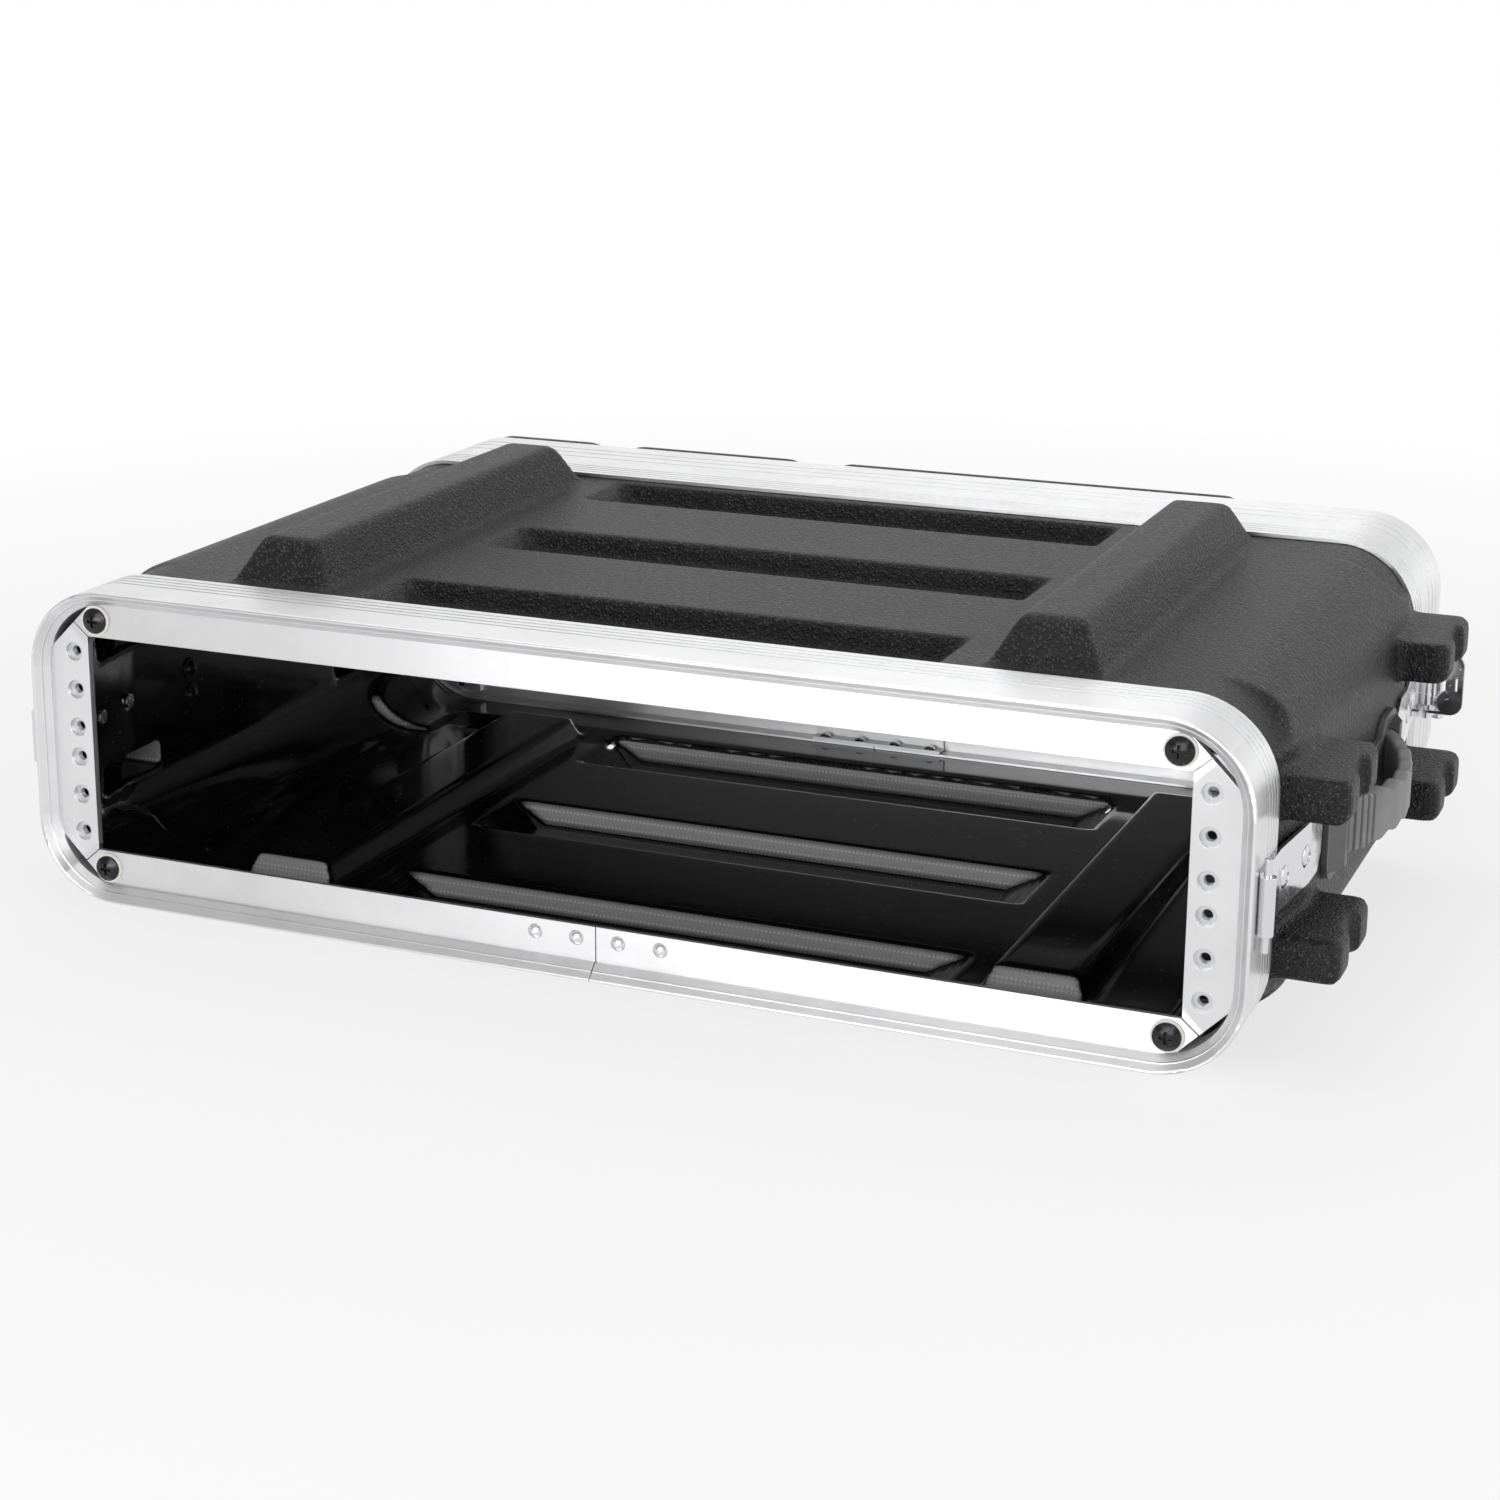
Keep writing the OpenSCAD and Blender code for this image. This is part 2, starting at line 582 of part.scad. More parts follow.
// outline whose two corners at x1 are rounded
module nosed(x0, x1, lo, hi, r) {
    translate([x0, lo]) square([x1 - r - x0, hi - lo]);
    translate([x0, lo + r]) square([x1 - x0, hi - lo - 2 * r]);
    for (c = [lo + r, hi - r]) translate([x1 - r, c]) circle(r);
}
module lug(y, g) {
    root = bw - 3 * wall;
    intersection() {
        along_z(lug_low_z + g, lug_high_z - g) difference() {
            nosed(root, lug_x - g, y + g, y + lug_len - g, lug_r - g);
            translate([lug_x - notch_d - g, y + notch_start - g])
                square([notch_d + g + over, notch_len + 2 * g]);
        }
        along_y(y - over, y + lug_len + over)
            nosed(root - over, lug_x - g, lug_low_z + g, lug_high_z - g, lug_edge_r - g);
    }
}
module lugs(g) {
    for (s = [0, 1], q = [0, 1]) mirror([s, 0, 0]) mirror([0, 0, q])
        for (y = [lug_front_y, rail_depth - lug_front_y - lug_len]) lug(y, g);
}
module form(g) {
    difference() {
        union() {
            difference() {
                union() {
                    along_y(seat_y - (g > 0 ? over : 0), rail_depth - seat_y + (g > 0 ? over : 0))
                        round_rect(neck_w - g, g - neck_h, neck_h - g, neck_r - g);
                    intersection() {
                        along_y(band_y, rail_depth - band_y)
                            round_rect(bw - g, g - floor_low, neck_h - g, body_r - g);
                        along_z(-big, big) plan_clip(g);
                        along_x(-big, big) side_clip(g);
                    }
                }
                all_corners() corner_cut(g);
            }
            ribs(g);
            ridges(g);
            lugs(g);
        }
        channels(g);
        nests(g);
    }
}
module body_shell() {
    color([0.11, 0.11, 0.12]) place() difference() {
        form(0);
        form(wall);
        keeper_spots() translate([0, 0, -3 * wall]) cylinder(r = rivet_r, h = 6 * wall);
        handle_spots() translate([0, 0, -3 * wall]) cylinder(d = shank_d + 2 * seat, h = 6 * wall);
    }
}

// keepers
keeper_x = fw + seat;
bend_y = side_ramp_y - over;
rivet_r = keeper_head_d * 0.19;
clinch_r = rivet_r * 1.9;
clinch_t = wall * 0.4;
ramp_lean = atan((bw - neck_w) / (side_ramp_y - band_y));
keeper_lean = atan((bw - fw) / (bend_y - band_y));
function keeper_face(y) = keeper_x + keeper_t / cos(keeper_lean) + (y - band_y) * tan(keeper_lean);
// face of the keeper to the inside of the shell, along the rivet
function rivet_grip(y) = (keeper_face(y) - neck_w + wall - (y - band_y) * tan(ramp_lean))
    / (cos(keeper_lean) + tan(ramp_lean) * sin(keeper_lean)) + clinch_r * tan(ramp_lean - keeper_lean) + seat;
module keeper_plan() {
    bend = keeper_t * tan(keeper_lean / 2);
    polygon([[keeper_x, barrel_y], [keeper_x, band_y], [bw + seat, bend_y], [bw + seat, keeper_end_y],
        [bw + seat + keeper_t, keeper_end_y], [bw + seat + keeper_t, bend_y - bend],
        [keeper_x + keeper_t, band_y - bend], [keeper_x + keeper_t, barrel_y]]);
}
// rivet axes of one keeper, outwards along local Z
module keeper_spot(i) {
    y = i == 0 ? rivet_1_y : rivet_2_y;
    translate([keeper_face(y), y, 0]) rotate([0, 0, -keeper_lean]) rotate([0, 90, 0]) children();
}
module right_keeper_spots() {
    keeper_spot(0) children();
    keeper_spot(1) children();
}
module four_sides() {
    for (s = [0, 1], e = [0, 1]) mirror([s, 0, 0])
        translate([0, e * rail_depth, 0]) mirror([0, e, 0]) children();
}
module keeper_spots() { four_sides() right_keeper_spots() children(); }
module keeper() {
    hk = keeper_w / 2;
    cut = keeper_w / 4;
    difference() {
        union() {
            intersection() {
                along_z(-hk, hk) keeper_plan();
                along_x(fw - over, bw + 2 * barrel_r) polygon([[0, -hk], [keeper_end_y - cut, -hk],
                    [keeper_end_y, cut - hk], [keeper_end_y, hk - cut], [keeper_end_y - cut, hk], [0, hk]]);
            }
            translate([keeper_x + barrel_r, barrel_y, barrel_end - hk])
                cylinder(r = barrel_r, h = keeper_w - 2 * barrel_end);
        }
        translate([keeper_x + barrel_r, barrel_y, -hk - over])
            cylinder(r = keeper_pin_r + seat, h = keeper_w + 2 * over);
        right_keeper_spots() translate([0, 0, -3 * wall]) cylinder(r = rivet_r, h = 6 * wall);
    }
}
module keeper_front_left() { color([0.75, 0.75, 0.76]) place() mirror([1, 0, 0]) keeper(); }
module keeper_front_right() { color([0.75, 0.75, 0.76]) place() keeper(); }
module keeper_rear_left() { color([0.75, 0.75, 0.76]) place() at_rear() mirror([1, 0, 0]) keeper(); }
module keeper_rear_right() { color([0.75, 0.75, 0.76]) place() at_rear() keeper(); }
module keeper_pins() {
    color([0.7, 0.7, 0.72]) place() four_sides() translate([keeper_x + barrel_r, barrel_y, -keeper_pin_half])
        cylinder(r = keeper_pin_r, h = 2 * keeper_pin_half);
}
// heads with a dished centre outside, clinched ends inside the shell
module keeper_rivets() {
    grips = [rivet_grip(rivet_1_y), rivet_grip(rivet_2_y)];
    head_h = keeper_head_d * 0.16;
    color([0.6, 0.6, 0.62]) place() for (i = [0, 1]) four_sides() keeper_spot(i) {
        difference() {
            dome(keeper_head_d, head_h);
            translate([0, 0, head_h / 2]) cylinder(d = keeper_head_d * 0.42, h = head_h);
        }
        translate([0, 0, -grips[i] - clinch_t / 2])
            cylinder(r = rivet_r - seat, h = grips[i] + clinch_t / 2 + head_h / 4);
        translate([0, 0, -grips[i] - clinch_t]) cylinder(r = clinch_r, h = clinch_t);
    }
}

// handles
handle_x = bw + seat;
bow_half = base_len / 2 - grip_end;
grip_r = (bow_half * bow_half + grip_out * grip_out) / (2 * grip_out);
grip_x = handle_x + grip_out;
grip_cx = grip_x - grip_r;
module handle_spots() {
    from_mid = base_len / 2 - base_pad * 0.53;
    for (s = [0, 1], e = [-1, 1], q = [-1, 1]) mirror([s, 0, 0])
        translate([handle_x + base_t, mid_y + e * from_mid, q * base_h * 0.164 - handle_drop])
        rotate([0, 90, 0]) children();
}
module base_pads(hl, hh, r) {
    for (e = [-1, 1]) translate([mid_y + e * (hl - base_pad / 2), 0]) {
        translate([r - base_pad / 2, -hh]) square([base_pad - 2 * r, 2 * hh]);
        translate([-base_pad / 2, r - hh]) square([base_pad, 2 * (hh - r)]);
        for (y = [r - base_pad / 2, base_pad / 2 - r], z = [r - hh, hh - r]) translate([y, z]) circle(r);
    }
}
module grip_ring(r_out, r_in, h) {
    translate([grip_cx, mid_y, -h / 2]) difference() {
        cylinder(r = r_out, h = h);
        translate([0, 0, -over]) cylinder(r = r_in, h = h + 2 * over);
    }
}
module handle_base() {
    hl = base_len / 2;
    hh = grip_h * 0.62;
    sock_x = handle_x + base_t + grip_t * 0.75;
    sock_y = mid_y - hl + grip_t * 2.2;
    sock_end = sock_y + grip_t * 0.9;
    translate([0, 0, -handle_drop]) difference() {
        union() {
            along_x(handle_x, handle_x + base_t) {
                base_pads(hl, base_h / 2, base_h * 0.28);
                translate([mid_y - hl + base_pad / 2, -grip_h / 2]) square([base_len - base_pad, grip_h]);
            }
            // sloped sockets that hold the ends of the grip
            for (e = [0, 1]) translate([0, e * 2 * mid_y, 0]) mirror([0, e, 0]) along_z(-hh, hh)
                polygon([[handle_x, mid_y - hl + base_t], [handle_x + base_t, mid_y - hl + base_t],
                    [sock_x, sock_y], [sock_x, sock_end], [handle_x, sock_end]]);
        }
        intersection() {
            grip_ring(grip_r + seat, grip_r - grip_t - seat, grip_h + 2 * seat);
            translate([handle_x + base_t, mid_y - base_len, -grip_h])
                cube([grip_x, 2 * base_len, 2 * grip_h]);
        }
        translate([0, 0, handle_drop]) handle_spots() translate([0, 0, -2 * base_t])
            cylinder(d = shank_d + 2 * seat, h = 1.8 * base_t);
    }
}
module handle_grip() {
    translate([0, 0, -handle_drop]) difference() {
        intersection() {
            grip_ring(grip_r, grip_r - grip_t, grip_h);
            translate([handle_x + base_t + seat, mid_y - base_len / 2, -grip_h])
                cube([grip_x, base_len, 2 * grip_h]);
        }
        for (e = [-1, 1], i = [0 : 4]) translate([grip_cx, mid_y, -grip_h])
            rotate([0, 0, e * asin((base_len / 2 - grip_groove_in - i * grip_groove_pitch) / grip_r)])
            translate([grip_r - grip_t * 0.2, -grip_t * 0.11, 0]) cube([grip_t, grip_t * 0.22, 2 * grip_h]);
    }
}
module handle_left_base() { color([0.22, 0.22, 0.23]) place() mirror([1, 0, 0]) handle_base(); }
module handle_left_grip() { color([0.26, 0.26, 0.27]) place() mirror([1, 0, 0]) handle_grip(); }
module handle_right_base() { color([0.22, 0.22, 0.23]) place() handle_base(); }
module handle_right_grip() { color([0.26, 0.26, 0.27]) place() handle_grip(); }
module handle_screws() {
    // heads and washers on the inner wall, shanks blind in the handle base
    grip = base_t + wall + seat;
    color([0.14, 0.14, 0.15]) place() handle_spots() translate([0, 0, -grip]) rotate([180, 0, 0]) {
        cylinder(d = shank_d * 2.6, h = wall * 0.3);
        translate([0, 0, wall * 0.3]) dome(shank_d * 1.9, shank_d * 0.5);
        translate([0, 0, -grip + base_t * 0.25]) cylinder(d = shank_d, h = grip + wall * 0.4);
    }
}

// lid
lid_y = rail_depth + nose_y + nose_r + part_gap;
lid_seat_y = lid_y + seat_y * 2;
module lid_section() {
    // wedge that enters the sloped lip of the rear frame, band, and channel for the lid shell
    d = part_gap * 2.2;
    function wedge_y(t) = rail_depth - lip_y(t) + d;
    difference() {
        polygon([[0, lid_y], [nose_r * 2, lid_y], [nose_r * 2, wedge_y(nose_r * 2)], [lip_t, wedge_y(lip_t)],
            [lip_t, lid_seat_y + inner_lip_y - seat_y], [channel_t, lid_seat_y + inner_lip_y - seat_y],
            [channel_t, lid_seat_y], [band_t, lid_seat_y], [band_t, lid_band_y], [0, lid_band_y]]);
        for (i = [1, 2]) translate([-over, lid_y + 2 * i * groove_pitch]) square([over + groove_d, groove_w]);
    }
}
module lid_frame() { color([0.78, 0.79, 0.8]) place() sweep(fw, fh, frame_r) lid_section(); }

// quarter round edge of the lid in (depth, Y)
module lid_arc(r_in, r_out) {
    intersection() {
        translate([lid_arc_t, lid_band_y]) difference() {
            circle(r_out);
            circle(r_in);
        }
        translate([lid_arc_t - 2 * lid_r, lid_band_y]) square([2 * lid_r, 2 * lid_r]);
    }
}
module lid_shell_section() {
    polygon([[neck_in, lid_seat_y], [neck_in + wall, lid_seat_y], [neck_in + wall, lid_band_y + over / 4],
        [neck_in, lid_band_y + over / 4]]);
    lid_arc(lid_r - wall, lid_r);
}
module lid_pad_section() {
    lid_arc(lid_r - wall / 2, lid_r + pad_h);
}
module lid_back(y0, y1) {
    along_y(y0, y1) round_rect(fw - lid_arc_t, lid_arc_t - fh, fh - lid_arc_t, frame_r - lid_arc_t);
}
// start and end of each raised panel across the lid
pad_span_shares = [[-0.877, -0.681], [-0.581, -0.252], [-0.14, 0.609]];
module lid_shell() {
    color([0.11, 0.11, 0.12]) place() {
        sweep(fw, fh, frame_r) lid_shell_section();
        lid_back(lid_band_y + lid_r - wall, lid_band_y + lid_r);
        for (p = pad_span_shares) intersection() {
            union() {
                sweep(fw, fh, frame_r) lid_pad_section();
                lid_back(lid_band_y + lid_r - wall / 2, lid_band_y + lid_r + pad_h);
            }
            translate([p[0] * fw, lid_band_y + seat, -big / 2]) cube([(p[1] - p[0]) * fw, big, big]);
        }
    }
}

// latches
pin_x = keeper_x + barrel_r;
pin_y = rail_depth - barrel_y;
cheek_in = keeper_w / 2 + 2 * run;
ear_out = cheek_in - run;
pivot_half = cheek_in + latch_t + 9 * wire_r;
lip_front_y = pin_y - keeper_pin_r - hook_gap - latch_t;
lip_in_x = pin_x - keeper_pin_r * 0.45;
shell_x = fw + seat;
tab_x = lug_x - wall * 1.8;
module latch_base() {
    difference() {
        union() {
            translate([shell_x, pivot_y - wall, -ear_out]) cube([latch_t, wall * 8, 2 * ear_out]);
            for (q = [0, 1]) mirror([0, 0, q]) along_z(ear_out - latch_t, ear_out) {
                translate([pivot_x, pivot_y]) circle(pivot_r * 2);
                translate([shell_x, pivot_y - pivot_r * 1.6]) square([pivot_x - shell_x, pivot_r * 3.6]);
            }
        }
        translate([pivot_x, pivot_y, -pivot_half]) cylinder(r = pivot_r + seat, h = 2 * pivot_half);
    }
}
module cheek_plan() {
    // hooked side of the lever: round the pivot, out over the keeper pin, then in before it
    out_x = tab_x - wall * 2.2;
    arm_x = pin_x + keeper_pin_r + run * 2;
    difference() {
        union() {
            translate([pivot_x, pivot_y]) circle(pivot_r * 2.1);
            polygon([[pivot_x - pivot_r, pivot_y + pivot_r],
                [pivot_x + pivot_r * 1.4, pivot_y + pivot_r * 1.5], [out_x, pivot_y - wall * 2],
                [out_x, lip_front_y], [lip_in_x, lip_front_y], [lip_in_x, lip_front_y + latch_t],
                [arm_x, lip_front_y + latch_t], [arm_x, pin_y + keeper_pin_r + wall],
                [pivot_x - pivot_r, pivot_y - pivot_r * 1.6]]);
        }
        translate([pin_x, pin_y]) circle(keeper_pin_r + hook_gap);
    }
}
module latch_lever() {
    out_x = tab_x - wall * 2.2;
    difference() {
        union() {
            for (q = [0, 1]) mirror([0, 0, q]) along_z(cheek_in, cheek_in + latch_t) cheek_plan();
            // outer plate that ties the cheeks
            translate([out_x - latch_t, lip_front_y, -cheek_in - latch_t])
                cube([latch_t, pivot_y - wall * 2 - lip_front_y, 2 * (cheek_in + latch_t)]);
            // thumb tab turned outwards at the front
            along_y(lip_front_y, lip_front_y + latch_t) {
                translate([out_x - latch_t, wall * 2 - cheek_in - latch_t])
                    square([tab_x - out_x + latch_t, 2 * (cheek_in + latch_t - wall * 2)]);
                translate([out_x - latch_t, -cheek_in - latch_t])
                    square([tab_x - out_x + latch_t - wall * 2, 2 * (cheek_in + latch_t)]);
                for (q = [-1, 1]) translate([tab_x - wall * 2, q * (cheek_in + latch_t - wall * 2)])
                    circle(wall * 2);
            }
        }
        translate([pivot_x, pivot_y, -pivot_half]) cylinder(r = pivot_r + seat, h = 2 * pivot_half);
        translate([tab_x - wall * 1.2, lip_front_y - over, -wall])
            cube([latch_t / 2, latch_t + 2 * over, wall * 2]);
    }
}
module both_sides() { for (s = [0, 1]) mirror([s, 0, 0]) children(); }
module latch_base_left() { color([0.75, 0.75, 0.76]) place() mirror([1, 0, 0]) latch_base(); }
module latch_base_right() { color([0.75, 0.75, 0.76]) place() latch_base(); }
module latch_lever_left() { color([0.8, 0.8, 0.81]) place() mirror([1, 0, 0]) latch_lever(); }
module latch_lever_right() { color([0.8, 0.8, 0.81]) place() latch_lever(); }
module latch_pins() {
    color([0.7, 0.7, 0.72]) place() both_sides() translate([pivot_x, pivot_y, 0]) {
        translate([0, 0, -pivot_half]) cylinder(r = pivot_r, h = pivot_half + cheek_in + latch_t + wire_r);
        translate([0, 0, -pivot_half - wire_r]) cylinder(r = pivot_r * 1.7, h = wire_r);
        translate([0, 0, cheek_in + latch_t + wire_r / 2]) cylinder(r = pivot_r * 1.7, h = wire_r);
    }
}
module latch_springs() {
    coil_r = pivot_r + seat;
    top_z = -cheek_in - latch_t - wire_r * 0.3;
    color([0.6, 0.6, 0.62]) place() both_sides() translate([pivot_x, pivot_y, 0]) difference() {
        union() {
            translate([0, 0, top_z - wire_r * 7.6]) cylinder(r = coil_r + wire_r * 1.3, h = wire_r * 7.6);
            for (i = [0 : 3]) translate([0, 0, top_z - wire_r * (1.7 + i * 1.95)])
                cylinder(r = coil_r + wire_r * 2, h = wire_r * 1.5);
            translate([coil_r, -wall * 3, top_z - wire_r * 1.6]) cube([wire_r * 1.4, wall * 3, wire_r * 1.4]);
            translate([-coil_r - wire_r * 1.4, 0, top_z - wire_r * 7.5])
                cube([wire_r * 1.4, wall * 3, wire_r * 1.4]);
        }
        translate([0, 0, -pivot_half * 2]) cylinder(r = coil_r, h = pivot_half * 2);
    }
}

body_shell();
front_frame();
rear_frame();
front_splice_plate();
rear_splice_plate();
front_splice_rivets();
rear_splice_rivets();
front_rail_left();
front_rail_right();
rear_rail_left();
rear_rail_right();
front_rail_screws();
front_rail_washers();
rear_rail_screws();
rear_rail_washers();
keeper_front_left();
keeper_front_right();
keeper_rear_left();
keeper_rear_right();
keeper_pins();
keeper_rivets();
handle_left_base();
handle_left_grip();
handle_right_base();
handle_right_grip();
handle_screws();
lid_frame();
lid_shell();
latch_base_left();
latch_base_right();
latch_pins();
latch_springs();
latch_lever_left();
latch_lever_right();
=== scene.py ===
"""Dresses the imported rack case: rounded mouldings, wound springs, finishes, studio and camera.

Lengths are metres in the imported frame: X to the right of somebody who faces the open front, Y to
the back, Z up, the origin on the floor under the middle of the box.
"""

import bpy
import bmesh
import json
import math
import numpy as np
from mathutils import Matrix, Vector
from mathutils.bvhtree import BVHTree


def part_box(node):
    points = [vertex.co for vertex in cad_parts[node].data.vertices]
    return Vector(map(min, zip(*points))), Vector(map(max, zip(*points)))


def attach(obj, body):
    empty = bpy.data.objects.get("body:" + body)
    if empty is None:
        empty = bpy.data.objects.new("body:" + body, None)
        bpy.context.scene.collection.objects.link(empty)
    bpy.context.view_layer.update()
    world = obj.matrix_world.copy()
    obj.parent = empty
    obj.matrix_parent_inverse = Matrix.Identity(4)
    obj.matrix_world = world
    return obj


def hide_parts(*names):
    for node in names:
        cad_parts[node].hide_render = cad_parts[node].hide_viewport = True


MM = 0.001
WHITE = (1, 1, 1, 1)

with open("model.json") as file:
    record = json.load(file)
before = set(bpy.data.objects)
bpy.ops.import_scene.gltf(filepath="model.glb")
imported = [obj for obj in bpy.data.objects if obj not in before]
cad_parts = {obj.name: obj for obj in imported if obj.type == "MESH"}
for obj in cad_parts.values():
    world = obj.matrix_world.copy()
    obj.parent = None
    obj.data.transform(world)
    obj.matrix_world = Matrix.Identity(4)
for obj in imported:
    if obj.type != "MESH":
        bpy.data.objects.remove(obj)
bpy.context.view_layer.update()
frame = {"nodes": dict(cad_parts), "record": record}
scene = bpy.context.scene
slots = {part["node"]: part["material_slot"] for part in frame["record"]["subparts"]}

front_lo, front_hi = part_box("front_frame")
MID_Z = (front_lo[2] + front_hi[2]) / 2
FRAME_HALF_W = (front_hi[0] - front_lo[0]) / 2
FRAME_HALF_H = (front_hi[2] - front_lo[2]) / 2

# the hollow of both mouldings is clear within these distances of its middle
CLEAR_HALF_W = 0.8 * FRAME_HALF_W
CLEAR_HALF_H = 0.6 * FRAME_HALF_H

# materials
SCRATCH_TURNS = (0.5, -0.9)
SCRATCH_STRETCH = 0.025


def is_socket(value):
    return isinstance(value, bpy.types.NodeSocket)


class Finish:
    """One node material, written a node at a time. Patterns use object coordinates in metres."""

    def __init__(self, name):
        self.material = bpy.data.materials.new(name)
        self.material.use_nodes = True
        self.tree = self.material.node_tree
        self.shader = self.tree.nodes["Principled BSDF"]
        self.place = self.node("ShaderNodeTexCoord").outputs["Object"]

    def node(self, kind, inputs=None, **settings):
        made = self.tree.nodes.new(kind)
        for name, value in settings.items():
            setattr(made, name, value)
        for name, value in (inputs or {}).items():
            self.feed(made.inputs[name], value)
        return made

    def feed(self, socket, value):
        """Links a node's output to the socket, or sets the socket to a plain value."""
        if is_socket(value):
            self.tree.links.new(value, socket)
        else:
            socket.default_value = value

    def stretched(self, x, y, z):
        """Object coordinates multiplied by one number an axis: a small number draws the pattern long."""
        return self.node("ShaderNodeMapping", {"Vector": self.place, "Scale": (x, y, z)}).outputs[0]

    def noise(self, grain, detail, roughness, vector=None, distortion=0.0):
        """Soft noise whose lumps are about one grain (metres) across."""
        return self.node("ShaderNodeTexNoise", {
            "Vector": vector or self.place, "Scale": 1 / grain, "Detail": detail,
            "Roughness": roughness, "Distortion": distortion}).outputs["Fac"]

    def cells(self, grain, smooth):
        """Rounded pebbles about one grain across."""
        return self.node("ShaderNodeTexVoronoi", {
            "Vector": self.place, "Scale": 1 / grain, "Smoothness": smooth},
            feature="SMOOTH_F1").outputs["Distance"]

    def between(self, value, low, high, start=0.0, end=1.0):
        """The value carried from low..high to start..end, held at both ends."""
        return self.node("ShaderNodeMapRange", {
            "Value": value, "From Min": low, "From Max": high,
            "To Min": start, "To Max": end}).outputs["Result"]

    def calculated(self, operation, a, b=0.0):
        made = self.node("ShaderNodeMath", operation=operation)
        self.feed(made.inputs[0], a)
        self.feed(made.inputs[1], b)
        return made.outputs[0]

    def sum(self, a, b):
        return self.calculated("ADD", a, b)

    def product(self, a, b):
        return self.calculated("MULTIPLY", a, b)

    def vectors(self, operation, a, b=(0, 0, 0), output="Vector"):
        made = self.node("ShaderNodeVectorMath", operation=operation)
        self.feed(made.inputs[0], a)
        self.feed(made.inputs[1], b)
        return made.outputs[output]

    def mixed(self, amount, a, b):
        """Colour a, turning to colour b where the amount is 1."""
        made = self.node("ShaderNodeMix", data_type="RGBA")
        self.feed(made.inputs["Factor"], amount)
        for socket, color in zip(made.inputs[6:8], (a, b)):
            self.feed(socket, color if is_socket(color) else (*color, 1))
        return made.outputs[2]

    def relief(self, height, depth, strength=1.0, under=None):
        """Normal for a height of 0..1 that stands for a depth in metres."""
        inputs = {"Height": height, "Distance": depth, "Strength": strength}
        if under:
            inputs["Normal"] = under
        return self.node("ShaderNodeBump", inputs).outputs["Normal"]

    def scratches(self, spacing, rarity):
        """Hair-thin lines in two directions, 1 on a line and 0 elsewhere. More rarity, fewer lines."""
        lines = []
        for turn in SCRATCH_TURNS:
            turned = self.node("ShaderNodeMapping", {
                "Vector": self.place, "Rotation": (turn, turn * 0.7, turn * 1.3)}).outputs[0]
            long = self.node("ShaderNodeMapping", {
                "Vector": turned, "Scale": (SCRATCH_STRETCH, 1.0, 1.0)}).outputs[0]
            fine = self.noise(spacing, detail=1.0, roughness=0.5, vector=long)
            lines.append(self.between(fine, 0.5 + rarity, 0.53 + rarity))
        return self.calculated("MAXIMUM", *lines)

    def soft_edges(self, radius):
        """Normal that turns over each sharp edge as a small radius does, so that edges catch the light."""
        return self.node("ShaderNodeBevel", {"Radius": radius}, samples=4).outputs["Normal"]

    def facing(self, x, y, z, low, high):
        """1 where the surface faces along the given direction of the object, 0 where it faces away."""
        normal = self.node("ShaderNodeTexCoord").outputs["Normal"]
        return self.between(self.vectors("DOT_PRODUCT", normal, (x, y, z), "Value"), low, high)

    def finish(self, color, roughness, normal, **constants):
        """Feeds the shader. A constant is named as its socket is, with _ for each space."""
        self.feed(self.shader.inputs["Base Color"], color)
        self.feed(self.shader.inputs["Roughness"], roughness)
        self.feed(self.shader.inputs["Normal"], normal)
        for name, value in constants.items():
            self.shader.inputs[name.replace("_", " ")].default_value = value
        return self.material


def shaded(color, share):
    """The colour with each of its numbers multiplied by the share."""
    return [c * share for c in color]


def pebbled_plastic():
    """Textured black moulding: glossy pebbles, painted lighter on their raised parts as a painted highlight
    and darker between them as painted shade, and a little dust in broad patches.
    """
    # The first colour is painted shade between the pebbles and the second a painted highlight on their
    # raised parts; the third is dust.
    shaded_valley, top, dust = (0.002, 0.002, 0.0022), (0.075, 0.075, 0.077), (0.04, 0.039, 0.039)
    f = Finish("pebbled_black_plastic")
    pebbles = f.between(f.cells(1.35 * MM, smooth=0.25), 0.15, 0.5, 1.0, 0.0)
    lumps = f.noise(2.0 * MM, detail=2.0, roughness=0.6)
    grain = f.noise(0.8 * MM, detail=2.0, roughness=0.6)
    height = f.sum(f.product(pebbles, 0.6), f.sum(f.product(lumps, 0.9), f.product(grain, 0.35)))
    broad = f.noise(60 * MM, detail=3.0, roughness=0.6)
    # Mask of the raised parts of the pebbles: painted light there as a highlight, and made glossier.
    glinting_tops = f.product(pebbles, f.between(lumps, 0.43, 0.55))
    tint = f.mixed(glinting_tops, shaded_valley, top)
    tint = f.mixed(f.product(f.between(broad, 0.4, 0.7), 0.15), tint, dust)
    dull = f.between(f.sum(glinting_tops, f.product(grain, 0.5)), 0.2, 1.2, 0.46, 0.24)
    return f.finish(tint, dull, f.relief(height, 0.8 * MM), Specular_IOR_Level=0.3)


